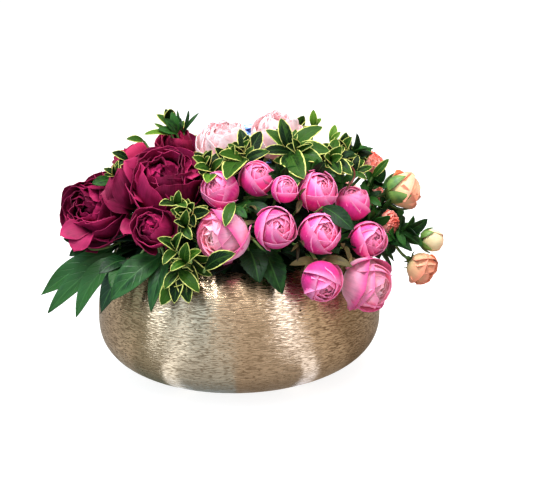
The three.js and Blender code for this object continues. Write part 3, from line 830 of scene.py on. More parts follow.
@dataclass(frozen=True)
class Bowl:
    """The hammered bowl: a squarish belly that narrows to a rolled rim.

    stroke is how long and how tall a hammer mark is. No leaf comes nearer to the wall than beside_wall.
    """

    height: float = 140.0
    foot: float = 45.0
    belly: float = 150.0
    belly_height: float = 66.0
    rim: float = 118.0
    wall: float = 2.5
    squareness: float = 2.4
    columns: int = 320
    rows: int = 150
    rows_inside: int = 24
    stroke: Pair = (10.0, 2.1)
    relief: float = 0.15
    smooth_foot: float = 2.0
    smooth_rim: float = 3.0
    over_rim: float = 3.0
    beside_wall: float = 5.0

    def side(self, share: float, inset: float = 0.0) -> Pair:
        """A place on the side.

        Args:
            share: 0 at the foot's edge, 1 at the belly and 2 at the rim.
            inset: How far inside the outer face it is.

        Returns:
            Its radius and height.
        """
        angle = share * math.pi / 2
        if share <= 1:
            drop = (self.belly_height - inset) * max(math.cos(angle), 0) ** (2 / self.squareness)
            return self.foot + (self.belly - inset - self.foot) * math.sin(angle), self.belly_height - drop
        rise = angle - math.pi / 2
        narrowing = (self.belly - self.rim) * (1 - math.cos(rise))
        climb = (self.height - self.belly_height) * math.sin(rise)
        return self.belly - inset - narrowing, self.belly_height + climb

    def is_crossed(self, probes: list[Vector]) -> bool:
        """True if a leaf would stick in the wall or go through it.

        Args:
            probes: Points from the leaf's root to its tip.

        Returns:
            Whether it touches the wall.
        """
        gaps = []
        for probe in probes:
            if probe.z < self.height + self.over_rim:
                rise = min(max((probe.z - self.belly_height) / (self.height - self.belly_height), 0), 1)
                gaps.append(probe.xy.length - self.side(1 + math.asin(rise) * 2 / math.pi)[0])
        return any(abs(gap) < self.beside_wall for gap in gaps) or (bool(gaps) and min(gaps) < 0 < max(gaps))

    def outline(self) -> list[Pair]:
        """The section of the wall from the middle of the foot, over the rim, to the floor inside.

        Returns:
            Radius and height pairs.
        """
        outer = [self.side(2 * k / self.rows) for k in range(self.rows + 1)]
        inner = [self.side(2 * k / self.rows_inside, self.wall) for k in range(self.rows_inside, -1, -1)]
        middle, half = (outer.pop()[0] + inner.pop(0)[0]) / 2, self.wall / 2
        roll = [
            (middle + half * math.cos(turn), self.height - half + half * math.sin(turn))
            for turn in np.linspace(0, math.pi, 7)
        ]
        return [(0, 0), *outer, *roll, *inner, (0, self.wall)]

    def build(self) -> None:
        """Spins the wall, hammers its outside and seats it."""
        deselect_all()
        section = bpy.data.meshes.new("bowl_section")
        points = [(radius * MM, 0, height * MM) for radius, height in self.outline()]
        section.from_pydata(points, [(k, k + 1) for k in range(len(points) - 1)], [])
        piece = bpy.data.objects.new("hammered_bowl", section)
        bpy.context.scene.collection.objects.link(piece)
        choose(piece)
        bpy.ops.object.mode_set(mode="EDIT")
        bpy.ops.mesh.select_all(action="SELECT")
        bpy.ops.mesh.spin(
            steps=self.columns, angle=2 * math.pi, center=(0, 0, 0), axis=(0, 0, 1), use_auto_merge=True
        )
        bpy.ops.mesh.select_all(action="SELECT")
        bpy.ops.mesh.remove_doubles(threshold=1e-6)
        bpy.ops.mesh.normals_make_consistent(inside=False)
        bpy.ops.object.mode_set(mode="OBJECT")
        self.hammer(piece)
        bpy.ops.object.shade_smooth()
        piece.data.materials.append(HAMMERED.material())
        seat(piece, "bowl_metal", "bowl")

    def hammer(self, piece: bpy.types.Object) -> None:
        """Presses short level strokes into the outer face.

        Args:
            piece: The spun bowl.
        """
        long, tall = self.stroke
        facing = [vertex.normal.copy() for vertex in piece.data.vertices]
        for vertex, normal in zip(piece.data.vertices, facing):
            place = vertex.co / MM
            radius = place.xy.length
            is_inside = normal.xy.dot(place.xy) < 0
            if is_inside or radius < self.foot + self.smooth_foot or place.z > self.height - self.smooth_rim:
                continue
            rounded = Vector((place.x, place.y, 0)) * (self.belly / radius / long)
            rise = (place.z + 0.4 * (self.belly - radius)) / tall
            stroke = noise.noise(rounded + Vector((0, 0, rise)))
            finer = noise.noise(rounded * 2.1 + Vector((7, 3, rise * 1.9)))
            vertex.co -= normal * (self.relief * (abs(stroke) + 0.5 * abs(finer)) * MM)


@dataclass(frozen=True)
class Foam:
    """The block of floral foam, sunk in the bowl with a domed top."""

    radius: float = 102.0
    shoulder: float = 144.0
    crown: float = 170.0

    def top(self, distance: float) -> float:
        """The height of the domed top.

        Args:
            distance: How far from the block's axis.

        Returns:
            The height there.
        """
        share = min(distance / self.radius, 1)
        return self.shoulder + (self.crown - self.shoulder) * math.cos(share * math.pi / 2)

    def build(self) -> None:
        """Dresses the frame's own block."""
        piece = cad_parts["floral_foam"]
        piece.data.materials.clear()
        piece.data.materials.append(FOAM.material())
        LOG.info("floral_foam: dressed")


BLOCK = Foam()

# ---- Blooms ----

TILT = 0.045  # one side of a petal stands this much over its neighbour
SEAT = 0.82  # how far under a bloom's middle its calyx sits, in shares of its radius
SEPALS = 5
HUG = (2.75, 1.48)  # the angles from a bloom's axis between which a sepal hugs it
FLORET_PETALS = 4
NECK = 0.34  # how long the swelling under a bloom is, in shares of its radius
LONGEST_NECK = 8.0
FRONT_RISE = 14.0  # degrees that the front view looks down

# Each layer of the hydrangea: how many florets, a petal's length in mm and its share of the radius.
FLORET_LAYERS = ((84, 9.5, 0.93), (64, 12.5, 0.8))


def between(pair: Pair, share: float) -> float:
    """A measure part of the way from one value to another.

    Args:
        pair: The two values.
        share: 0 at the first and 1 at the second.

    Returns:
        The measure there.
    """
    return pair[0] + (pair[1] - pair[0]) * share


@dataclass(frozen=True)
class Nest:
    """Nested rings of petals, from the outermost to the heart.

    A pair holds a measure for the outermost ring and for the heart, and the rings between take even
    steps. Distances are shares of the bloom's radius and angles are taken from its axis.
    """

    counts: tuple[int, ...]
    lip: Pair
    reach: Pair = (1.0, 0.84)
    belly: Pair = (0.97, 0.76)
    foot: Pair = (2.6, 0.9)
    corner: Pair = (0.3, 0.05)
    skew: Pair = (0.3, 0.06)
    roll: Pair = (0.05, 0.02)
    point: Pair = (0.0, 0.0)
    ruffle: Pair = (0.0, 0.0)
    uneven: Pair = (0.12, 0.04)
    stray: Pair = (0.014, 0.005)
    folds: float = 2.0
    width: float = 1.3
    ease: float = 0.85


class Kind(Enum):
    """How the petals of each kind of bloom are nested."""

    ROSE = Nest(
        (3, 3, 3, 3, 3, 3, 3), lip=(0.78, 0.06), reach=(1.05, 0.76), belly=(1.02, 0.7), corner=(0.85, 0.2),
        skew=(0.22, 0.05), roll=(0.06, 0.02), ruffle=(0.006, 0.012), uneven=(0.16, 0.06), width=1.42,
        ease=0.5,
    )
    OPEN_ROSE = Nest(
        (3, 4, 4, 4, 4, 4, 3), lip=(1.05, 0.08), reach=(1.06, 0.72), belly=(0.94, 0.66), roll=(0.12, 0.02),
        point=(0.12, 0.0), corner=(0.6, 0.15), skew=(0.15, 0.05), ruffle=(0.01, 0.015), uneven=(0.15, 0.08),
        width=1.4, ease=0.62,
    )
    PEONY = Nest(
        (4, 5, 4, 5, 4, 4), lip=(1.2, 0.16), reach=(1.1, 0.78), belly=(0.9, 0.6), skew=(0.2, 0.16),
        corner=(0.4, 0.1), roll=(0.02, 0.0), ruffle=(0.035, 0.06), uneven=(0.36, 0.26), stray=(0.07, 0.03),
        folds=1.3, width=1.5, ease=0.72,
    )
    SMALL_PEONY = Nest(
        (4, 4, 4, 4), lip=(1.15, 0.16), reach=(1.1, 0.8), belly=(0.9, 0.64), skew=(0.2, 0.14),
        corner=(0.4, 0.1), roll=(0.02, 0.0), ruffle=(0.04, 0.07), uneven=(0.34, 0.24), stray=(0.08, 0.03),
        folds=1.3, width=1.5, ease=0.75,
    )
    BLUSH_PEONY = Nest(
        (4, 5, 5, 4, 4), lip=(1.2, 0.14), reach=(1.09, 0.84), belly=(0.95, 0.7), skew=(0.14, 0.12),
        corner=(0.4, 0.1), ruffle=(0.05, 0.06), uneven=(0.32, 0.2), stray=(0.05, 0.02), folds=1.2, width=1.5,
        ease=0.65, roll=(-0.03, 0.0),
    )
    CORAL = Nest(
        (5, 6, 6, 6, 5), lip=(1.15, 0.2), reach=(1.04, 0.88), belly=(0.9, 0.72), skew=(0.08, 0.08),
        ruffle=(0.045, 0.07), uneven=(0.06, 0.06), folds=3.0, width=1.2,
    )
    BUD = Nest((3, 3, 3), lip=(0.42, 0.1), reach=(1.0, 0.93), belly=(0.98, 0.88), corner=(0.2, 0.05))
    HYDRANGEA = None


@dataclass(frozen=True)
class Dress:
    """What one variety of flower is dressed in."""

    outside: Finish
    inside: Finish
    slot: str


DRESSES = {
    "pink_rose": Dress(PINK, PINK_IN, "pink_petals"),
    "peony": Dress(BURGUNDY, BURGUNDY_IN, "burgundy_petals"),
    "blush_peony": Dress(BLUSH, BLUSH_IN, "blush_petals"),
    "hydrangea": Dress(BLUE, BLUE, "blue_florets"),
    "peach_rose": Dress(PEACH, PEACH_IN, "peach_petals"),
    "coral_rose": Dress(CORAL, CORAL_IN, "coral_petals"),
}

OWN_OUTSIDES = {
    "pink_rose_6": PALE_PINK,
    "pink_rose_11": PALE_PINK,
    "peony_4": CRIMSON,
    "peony_5": CRIMSON,
    "peach_rose_2": CREAM,
}
OPENINGS = {  # how far each head's heart shows aside and up from its middle, in shares of its radius
    "pink_rose_1": (-0.4, 0.38),
    "pink_rose_2": (0.25, 0.5),
    "pink_rose_3": (0.3, 0.5),
    "pink_rose_4": (0.45, 0.4),
    "pink_rose_5": (0.15, 0.82),
    "pink_rose_6": (-0.72, -0.1),
    "pink_rose_7": (0.28, 0.1),
    "pink_rose_8": (0.35, 0.2),
    "pink_rose_9": (0.5, 0.05),
    "pink_rose_10": (0.3, -0.66),
    "pink_rose_11": (0.8, -0.32),
    "peony_1": (-0.4, 0.25),
    "peony_2": (0.12, 0.55),
    "peony_3": (-0.2, 0.25),
    "peony_4": (0.1, 0.7),
}


@dataclass(frozen=True)
class Bloom:
    """A flower head: the middle, the way it opens, its reach, and whether sepals hug it."""

    kind: Kind
    at: Point
    aim: Point
    radius: float
    hugged: bool = False

    @property
    def middle(self) -> Vector:
        """The middle of the head."""
        return Vector(self.at)

    @property
    def axis(self) -> Vector:
        """The way the head stands on its stem, one long."""
        return Vector(self.aim).normalized()

    @property
    def neck(self) -> float:
        """How long the swelling under the head is."""
        return min(NECK * self.radius, LONGEST_NECK)

    def opened(self, aside: float, up: float) -> "Bloom":
        """The same head, with its heart turned.

        Args:
            aside: How far to the right of its middle the heart shows from the front, in radii.
            up: How far above its middle the heart shows, in radii.

        Returns:
            The turned head.
        """
        front = Quaternion((1, 0, 0), math.radians(FRONT_RISE))
        ahead = math.sqrt(1 - aside**2 - up**2)
        return replace(self, aim=tuple(front.inverted() @ Vector((aside, -ahead, up))))

    def placed(self, points: np.ndarray) -> np.ndarray:
        """Points about the head's own axis, laid where the head stands.

        Args:
            points: Points with the axis along Z.

        Returns:
            The same points about the bowl's foot.
        """
        turn = UPRIGHT.rotation_difference(self.axis).to_matrix()
        return points @ np.array(turn).T + np.array(self.at)

    def ball(self, polar: np.ndarray, around: np.ndarray, reach: np.ndarray) -> np.ndarray:
        """Points from angles and distances about the head's middle.

        Args:
            polar: Angles from the axis.
            around: Turns about the axis.
            reach: Distances in shares of the radius.

        Returns:
            The points, laid where the head stands.
        """
        across = np.sin(polar) * reach
        local = np.stack([across * np.cos(around), across * np.sin(around), np.cos(polar) * reach], axis=1)
        return self.placed(local * self.radius)

    def petal(
        self, blank: Blank, share: float, turn: float, spread: float, dice: random.Random
    ) -> np.ndarray:
        """One petal, cupped round the head.

        Args:
            blank: The blank that it is bent from.
            share: 0 in the outermost ring and 1 in the heart.
            turn: Its place round the axis.
            spread: Half its width round the axis.
            dice: What its unevenness is drawn from.

        Returns:
            Its points.
        """
        nest, across, along = self.kind.value, blank.across, blank.along
        ruffle, uneven = between(nest.ruffle, share), between(nest.uneven, share)
        phase = [dice.uniform(0, 2 * math.pi) for _ in range(3)]
        wave = np.cos(math.pi * nest.folds * across + phase[0])
        wave = wave + 0.6 * np.cos(2.3 * math.pi * nest.folds * across + phase[1])
        wave = wave + 0.5 * np.cos(4 * math.pi * along + phase[2] + 2 * across)
        lip = between(nest.lip, share**nest.ease) + dice.uniform(-1, 1) * uneven
        lip = lip + between(nest.corner, share) * across**2 + between(nest.skew, share) * across
        lip = lip - between(nest.point, share) * (1 - np.abs(across)) ** 2 + 0.8 * ruffle * wave
        foot = between(nest.foot, share**0.6)
        polar = foot + (np.maximum(lip, 0.02) - foot) * along
        narrow = 0.5 + 0.5 * np.sin(np.minimum(along * 1.6, 1) * math.pi / 2)
        around = turn + spread * across * narrow
        inner, outer = between(nest.belly, share), between(nest.reach, share)
        edge = np.clip((along - 0.5) / 0.5, 0, 1)
        reach = inner * (1 - 0.1 * np.clip(polar - 1.6, 0, 1) ** 2) + (outer - inner) * edge**1.5
        reach = reach + between(nest.roll, share) * edge**4 + ruffle * wave * edge
        stray = dice.uniform(-1, 1) * between(nest.stray, share)
        return self.ball(polar, around, reach + TILT * across + stray)

    def petals(self, blank: Blank, dice: random.Random) -> Sheaf:
        """All the petals.

        Args:
            blank: The blank that they are bent from.
            dice: What their unevenness is drawn from.

        Returns:
            The gathered petals.
        """
        sheaf, nest = Sheaf(), self.kind.value
        turn = dice.uniform(0, 2 * math.pi)
        for level, count in enumerate(nest.counts):
            share = level / (len(nest.counts) - 1)
            turn += math.pi / count + dice.uniform(-0.3, 0.3)
            for number in range(count):
                loose = dice.uniform(-0.6, 0.6) * between(nest.uneven, share)
                place = turn + 2 * math.pi * number / count + loose
                spread = nest.width * math.pi / count
                sheaf.add(blank, self.petal(blank, share, place, spread, dice), dice.random(), share)
        return sheaf

    def florets(self, blank: Blank, dice: random.Random) -> Sheaf:
        """The hydrangea's florets, each of four pointed petals.

        Args:
            blank: The blank that a petal is bent from.
            dice: What their unevenness is drawn from.

        Returns:
            The gathered petals.
        """
        sheaf = Sheaf()
        for count, size, share in FLORET_LAYERS:
            half = 0.42 * size * np.sin(math.pi * np.clip(blank.along, 0, 1) ** 0.75) ** 0.8
            cupped = 0.22 * size * np.sin(blank.along * 2.2) - 0.05 * size * blank.across**2
            flat = np.stack([blank.along * size, blank.across * half, cupped], axis=1)
            for number in range(count):
                polar = math.acos(1 - 1.75 * (number + 0.5) / count)
                around, wide = number * GOLDEN_ANGLE, math.sin(polar)
                out = Vector((wide * math.cos(around), wide * math.sin(around), math.cos(polar)))
                upright = UPRIGHT.rotation_difference(out)
                spin = dice.uniform(0, math.pi / 2)
                tint = dice.random()
                reach = (share + dice.uniform(0, 0.08)) * self.radius
                for petal in range(FLORET_PETALS):
                    turn = upright @ Quaternion(UPRIGHT, spin + petal * 2 * math.pi / FLORET_PETALS)
                    points = flat @ np.array(turn.to_matrix()).T + np.array(out) * reach
                    sheaf.add(blank, self.placed(points), tint)
        return sheaf

    def sepals(self, blank: Blank, sheaf: Sheaf, dice: random.Random, finish: int) -> None:
        """Adds the five sepals under the head.

        Args:
            blank: The blank that a sepal is bent from.
            sheaf: What they are added to.
            dice: What their unevenness is drawn from.
            finish: The place of their finish in the sheaf's list.
        """
        across, along = blank.across, blank.along
        low, high = HUG
        for number in range(SEPALS):
            turn = 2 * math.pi * (number + dice.uniform(-0.12, 0.12)) / SEPALS
            if self.hugged:
                spread = 0.54 * (1 - along**1.7) + 0.02
                polar = low + (high + dice.uniform(-0.14, 0.14) - low) * along
                reach = 1 + TILT + 0.08 + 0.03 * np.cos(across * math.pi)
                sheaf.add(blank, self.ball(polar, turn + spread * across, reach), dice.random(), 0.0, finish)
                continue
            size = dice.uniform(0.4, 0.62)
            out = 0.16 + size * along
            curl = dice.uniform(0.1, 0.5)
            fall = -SEAT - 0.02 - curl * along**2 + 0.12 * np.sin(along * 6 + number) * along
            half = 0.13 * (1 - along) ** 0.7 * (1 + 0.6 * along)
            aside = across * half + 0.1 * np.sin(along * 4 + number)
            local = np.stack([
                out * math.cos(turn) - aside * math.sin(turn),
                out * math.sin(turn) + aside * math.cos(turn),
                fall + 0.25 * np.abs(across) * half,
            ], axis=1)
            sheaf.add(blank, self.placed(local * self.radius), dice.random(), 0.0, finish)


HEADS = {
    "pink_rose": (
        Bloom(Kind.ROSE, (-13, -96, 217), (-0.28, -0.88, 0.38), 18),
        Bloom(Kind.ROSE, (23, -88, 226), (0.4, -0.75, 0.5), 16.5),
        Bloom(Kind.ROSE, (49, -110, 219), (0.1, -0.85, 0.45), 12.5),
        Bloom(Kind.ROSE, (81, -84, 211), (0.5, -0.78, 0.36), 19.5),
        Bloom(Kind.ROSE, (118, -62, 193), (0.3, -0.35, 0.89), 17),
        Bloom(Kind.OPEN_ROSE, (-8, -128, 179), (-0.58, -0.8, -0.05), 25),
        Bloom(Kind.ROSE, (39, -138, 188), (0.3, -0.93, 0.15), 19.5),
        Bloom(Kind.ROSE, (82, -122, 178), (0.5, -0.85, 0.1), 19.5),
        Bloom(Kind.ROSE, (132, -78, 160), (0.7, -0.7, 0.05), 18),
        Bloom(Kind.ROSE, (82, -142, 137), (0.22, -0.6, -0.77), 19),
        Bloom(Kind.OPEN_ROSE, (126, -109, 124), (0.7, -0.55, -0.46), 26),
    ),
    "peony": (
        Bloom(Kind.PEONY, (-140, -45, 187), (-0.62, -0.72, 0.3), 36),
        Bloom(Kind.PEONY, (-70, -72, 219), (0.05, -0.7, 0.71), 37),
        Bloom(Kind.SMALL_PEONY, (-77, -121, 185), (0.05, -0.9, 0.25), 21),
        Bloom(Kind.SMALL_PEONY, (-61, 10, 242), (0, -0.55, 0.83), 21.5),
        Bloom(Kind.SMALL_PEONY, (-106, 0, 228), (-0.55, 0.1, 0.83), 20.5),
        Bloom(Kind.PEONY, (-107, 70, 196), (-0.6, 0.6, 0.52), 32),
    ),
    "blush_peony": (
        Bloom(Kind.BLUSH_PEONY, (-12, -8, 245), (-0.1, -0.4, 0.9), 27.5),
        Bloom(Kind.BLUSH_PEONY, (44, 24, 248), (0.12, -0.25, 0.96), 27),
        Bloom(Kind.BLUSH_PEONY, (-50, 104, 203), (-0.25, 0.75, 0.6), 28),
    ),
    "hydrangea": (Bloom(Kind.HYDRANGEA, (14, 86, 212), (0.1, 0.6, 0.79), 38),),
    "peach_rose": (
        Bloom(Kind.OPEN_ROSE, (173, -16, 196), (0.96, 0.12, 0.15), 18.5, True),
        Bloom(Kind.BUD, (203, -25, 144), (0.96, -0.1, -0.12), 12, True),
        Bloom(Kind.OPEN_ROSE, (189, -45, 121), (0.72, -0.5, -0.4), 16),
    ),
    "coral_rose": (
        Bloom(Kind.CORAL, (143, 28, 215), (0.6, -0.1, 0.75), 15),
        Bloom(Kind.CORAL, (147, 22, 183), (0.9, 0.1, 0.3), 12.5),
        Bloom(Kind.CORAL, (156, -34, 166), (0.8, -0.5, 0.1), 12),
        Bloom(Kind.CORAL, (94, 84, 205), (0.5, 0.65, 0.57), 17),
        Bloom(Kind.CORAL, (122, 72, 172), (0.75, 0.6, 0.25), 15),
    ),
}
BLOOMS = {f"{variety}_{k + 1}": bloom for variety, row in HEADS.items() for k, bloom in enumerate(row)}


def is_open(point: Vector, margin: float = 1.0) -> bool:
    """True if a point lies outside every bloom.

    Args:
        point: The point.
        margin: How large each bloom counts, in shares of its radius.

    Returns:
        Whether it is clear of them all.
    """
    return all((point - bloom.middle).length > margin * bloom.radius for bloom in BLOOMS.values())


# ---- Stems ----

PEG_AIM = Vector((0, 0, 30))  # what every stem's foot leans towards
PEG_INWARD = 0.62  # how far out a stem's hole is, in shares of its bloom's distance
PEG_FURTHEST = 90.0
PEG_OUT = 5.0  # how far a stem runs straight out of the foam
PEG_IN = 10.0  # and how far into it
SWELLINGS = ((0.6, 0.16), (0.25, 0.24), (0.0, 0.26))  # how far down the neck, and shares of a bloom's radius
OVERLAP = 1.5  # how far a stem runs into its neck
PACKED_SPRIG = 1.7  # the radius of a packed sprig's stem
LEAF_STALK = [1.5, 1.3, 1.1]  # the radius of a large leaf's stalk, from the stem to the blade

# What is tried to match a packed stem or leaf.
CURVES = ((0.35, 0.3), (0.6, 0.2), (0.15, 0.15), (0.15, 0.5), (0.5, 0.5), (0.05, 0.05))
TURNS = (0, 0.12, -0.12, 0.25, -0.25, 0.4, -0.4)
INWARDS = (1, 0.8, 0.6)
LIFTS = (0, 0.3, -0.3, 0.6, -0.6)
SWEEPS = (0, 0.35, -0.35, 0.7, -0.7)


class Solid:
    """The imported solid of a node, asked how far points lie from its surface."""

    def __init__(self, node: str) -> None:
        """Reads the node's mesh from the frame.

        Args:
            node: Its name.
        """
        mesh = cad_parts[node].data
        points = [vertex.co / MM for vertex in mesh.vertices]
        self.tree = BVHTree.FromPolygons(points, [face.vertices[:] for face in mesh.polygons])

    def miss(self, points: list[Vector], depth: float = 0.0) -> float:
        """How badly points fail to lie at a depth under the surface.

        Args:
            points: The points.
            depth: Their wanted distance from the surface.

        Returns:
            The sum of the differences.
        """
        return sum(abs(self.tree.find_nearest(point)[3] - depth) for point in points)


def arc(
    start: Vector, out: Vector, target: Vector, aim: Vector, choice: Pair, steps: int
) -> list[Vector]:
    """Points on a curve that leaves start along out and reaches target along aim.

    Args:
        start: Where it starts.
        out: Its direction there.
        target: Where it ends.
        aim: Its direction there.
        choice: How far each direction holds, in shares of the distance.
        steps: How many points after the first.

    Returns:
        The points.
    """
    reach = (target - start).length
    first, second = start + out * reach * choice[0], target - aim * reach * choice[1]
    return interpolate_bezier(start, first, second, target, steps + 1)


@dataclass
class Route:
    """A stem's way from the foam to a target."""

    foot: Vector
    path: list[Vector]
    fine: list[Vector]

    @classmethod
    def standing(cls, target: Vector, aim: Vector, radius: float, solid: Solid | None = None) -> "Route":
        """The way of a stem that stands in the foam.

        Args:
            target: Where it ends.
            aim: Its direction there.
            radius: Its radius.
            solid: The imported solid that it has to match, if there is one.

        Returns:
            The route whose points lie deepest in that solid, or the most direct one.
        """
        best, least = None, math.inf
        choices = product(TURNS, INWARDS, CURVES) if solid else [(0, 1, CURVES[0])]
        for turn, inward, choice in choices:
            around = math.atan2(target.y, target.x) + turn
            distance = inward * min(target.xy.length * PEG_INWARD, PEG_FURTHEST)
            mouth = Vector((distance * math.cos(around), distance * math.sin(around), BLOCK.top(distance)))
            out = (mouth - PEG_AIM).normalized()
            start = mouth + out * PEG_OUT
            path = arc(start, out, target, aim, choice, 4)
            miss = solid.miss([mouth, *path[1:4]], radius * 0.7) if solid else 0
            if miss < least:
                least = miss
                best = cls(mouth - out * PEG_IN, path, arc(start, out, target, aim, choice, 12))
        return best

    def branch(self, target: Vector, aim: Vector, radius: float, solid: Solid) -> list[Vector]:
        """A branch of this stem.

        Args:
            target: Where it ends.
            aim: Its direction there.
            radius: Its radius.
            solid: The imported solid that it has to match.

        Returns:
            Its points.
        """
        best, least = [], math.inf
        for joint, choice in product((2, 1, 3, 0), CURVES):
            out = (self.path[joint + 1] - self.path[joint]).normalized()
            points = arc(self.path[joint], out, target, aim, choice, 3)
            miss = solid.miss(points[1:3], radius * 0.7)
            if miss < least:
                best, least = arc(self.path[joint], out, target, aim, choice, 9), miss
        return best


# ---- Leaves ----


@dataclass(frozen=True)
class LeafForm:
    """The shape of a kind of leaf, in shares of its length where nothing else is said."""

    shoulder: float
    fullness: float
    arch: float
    fold: float
    droop: float = 0.0
    ripple: float = 0.0
    teeth: int = 0

    def bent(self, blank: Blank, length: float, width: float, dice: random.Random) -> np.ndarray:
        """A leaf along X with its upper face up.

        Args:
            blank: The blank that it is bent from.
            length: Its length.
            width: Its width.
            dice: What its unevenness is drawn from.

        Returns:
            Its points.
        """
        across, along = blank.across, blank.along
        half = 0.5 * width * np.sin(math.pi * along**self.shoulder) ** self.fullness
        if self.teeth:
            half = half * (1 - 0.16 * np.abs(across) * (1 - (along * self.teeth) % 1))
        side = across * half
        wave = np.sin(along * dice.uniform(7, 10) + dice.uniform(0, 6) + 2 * across)
        ripple = self.ripple * length * wave * across**2
        rise = self.arch * length * np.sin(math.pi * along) - self.droop * width * along**2
        crease = self.fold * (np.sqrt(side**2 + (0.03 * width) ** 2) - 0.03 * width)
        sway = dice.uniform(-0.04, 0.04) * length * np.sin(math.pi * along)
        return np.stack([along * length, side + sway, rise + crease + ripple], axis=1)


PEONY_FORM = LeafForm(0.85, 0.9, 0.12, 0.28, ripple=0.012)
TOOTHED_FORM = LeafForm(0.8, 0.75, 0.12, 0.28, ripple=0.02, teeth=9)
SPRIG_FORM = LeafForm(0.92, 0.68, 0.05, 0.28, droop=0.08, ripple=0.012)
BROAD_FORM = LeafForm(1.05, 0.66, 0.11, 0.16, droop=0.15, ripple=0.012)
GUARD_FORM = LeafForm(1.25, 0.5, 0.14, 0.12, droop=0.1, ripple=0.05)


def leaf_frame(root: Vector, along: Vector, face: Vector, lift: float = 0.0, sweep: float = 0.0) -> Matrix:
    """The frame of a leaf.

    Args:
        root: Where it grows.
        along: The way it points.
        face: The way its upper side looks.
        lift: How far it is raised.
        sweep: How far it is swung sideways.

    Returns:
        A matrix that lays a leaf along X there.
    """
    side = face.cross(along).normalized()
    raised = Quaternion(side, -lift)
    x = (Quaternion(face, sweep) @ (raised @ along)).normalized()
    up = raised @ face
    z = (up - x * up.dot(x)).normalized()
    place = Matrix((x, z.cross(x), z)).transposed().to_4x4()
    place.translation = root
    return place


def matched(root: Vector, along: Vector, face: Vector, probes: list[Vector], solid: Solid | None) -> Matrix:
    """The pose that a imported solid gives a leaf.

    Args:
        root: Where it grows.
        along: The way it points before it is swung clear.
        face: The way its upper side looks.
        probes: Points of the leaf, in its own frame, that lie on the solid.
        solid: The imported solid, if there is one.

    Returns:
        The frame whose probes lie nearest to the solid.
    """
    if solid is None:
        return leaf_frame(root, along, face)
    poses = [leaf_frame(root, along, face, lift, sweep) for lift, sweep in product(LIFTS, SWEEPS)]
    return min(poses, key=lambda pose: solid.miss([pose @ probe for probe in probes]))


def laid(points: np.ndarray, pose: Matrix) -> np.ndarray:
    """Points moved by a matrix.

    Args:
        points: The points.
        pose: The matrix.

    Returns:
        The moved points.
    """
    return points @ np.array(pose.to_3x3()).T + np.array(pose.translation)


@dataclass(frozen=True)
class LargeLeaf:
    """A large leaf on a flower's stem, from root to tip."""

    root: Point
    tip: Point
    face: Point
    width: float
    toothed: bool = False

    def add(self, blank: Blank, sheaf: Sheaf, solid: Solid, dice: random.Random, finish: int) -> Vector:
        """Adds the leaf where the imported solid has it.

        Args:
            blank: The blank that it is bent from.
            sheaf: What it is added to.
            solid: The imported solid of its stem.
            dice: What its unevenness is drawn from.
            finish: The place of its finish in the sheaf's list.

        Returns:
            Where its stalk ends.
        """
        root = Vector(self.root)
        along = Vector(self.tip) - root
        length = along.length
        along.normalize()
        probes = [Vector((length, 0, 0)), Vector((length / 2, 0, 0.12 * length))]
        pose = matched(root, along, Vector(self.face).normalized(), probes, solid)
        form = TOOTHED_FORM if self.toothed else PEONY_FORM
        sheaf.add(blank, laid(form.bent(blank, length, self.width, dice), pose), dice.random(), 0.0, finish)
        return root + along * 4


LARGE_LEAVES = {
    "peony_1_stem": (
        LargeLeaf((-124, -46, 150), (-204, -46, 100), (-0.3, -0.8, 0.5), 25),
        LargeLeaf((-122, -54, 146), (-194, -68, 88), (-0.3, -0.8, 0.5), 24),
        LargeLeaf((-116, -66, 148), (-162, -92, 90), (-0.4, -0.8, 0.4), 24),
        LargeLeaf((-124, -36, 158), (-184, -10, 152), (-0.1, -0.5, 0.8), 24),
    ),
    "peony_3_stem": (
        LargeLeaf((-98, -92, 150), (-134, -114, 100), (-0.4, -0.8, 0.4), 24),
        LargeLeaf((-70, -112, 158), (-122, -132, 118), (-0.2, -0.8, 0.6), 30),
        LargeLeaf((-66, -116, 156), (-82, -144, 110), (-0.4, -0.8, 0.4), 18),
    ),
    "peony_6_stem": (
        LargeLeaf((-110, 66, 158), (-170, 104, 124), (-0.3, 0.5, 0.8), 26),
        LargeLeaf((-92, 84, 156), (-118, 138, 118), (-0.3, 0.6, 0.7), 26),
    ),
    "pink_spray_1": (LargeLeaf((2, -84, 200), (6, -116, 196), (0, -0.4, 0.9), 18, True),),
    "pink_spray_2": (LargeLeaf((96, -78, 184), (106, -108, 188), (0, -0.4, 0.9), 18, True),),
    "pink_spray_3": (
        LargeLeaf((14, -118, 162), (8, -152, 138), (0, -0.6, 0.8), 30, True),
        LargeLeaf((28, -116, 162), (44, -150, 126), (0.2, -0.7, 0.6), 28, True),
    ),
    "peach_spray": (LargeLeaf((150, -30, 150), (186, -44, 146), (0.1, -0.5, 0.8), 22, True),),
    "coral_spray_2": (LargeLeaf((100, 84, 160), (124, 118, 142), (0.4, 0.5, 0.7), 28, True),),
    "blush_peony_3_stem": (LargeLeaf((-36, 100, 160), (-42, 144, 136), (0, 0.6, 0.8), 30, True),),
    "hydrangea_stem": (LargeLeaf((22, 98, 160), (26, 148, 136), (0, 0.6, 0.8), 32, True),),
}

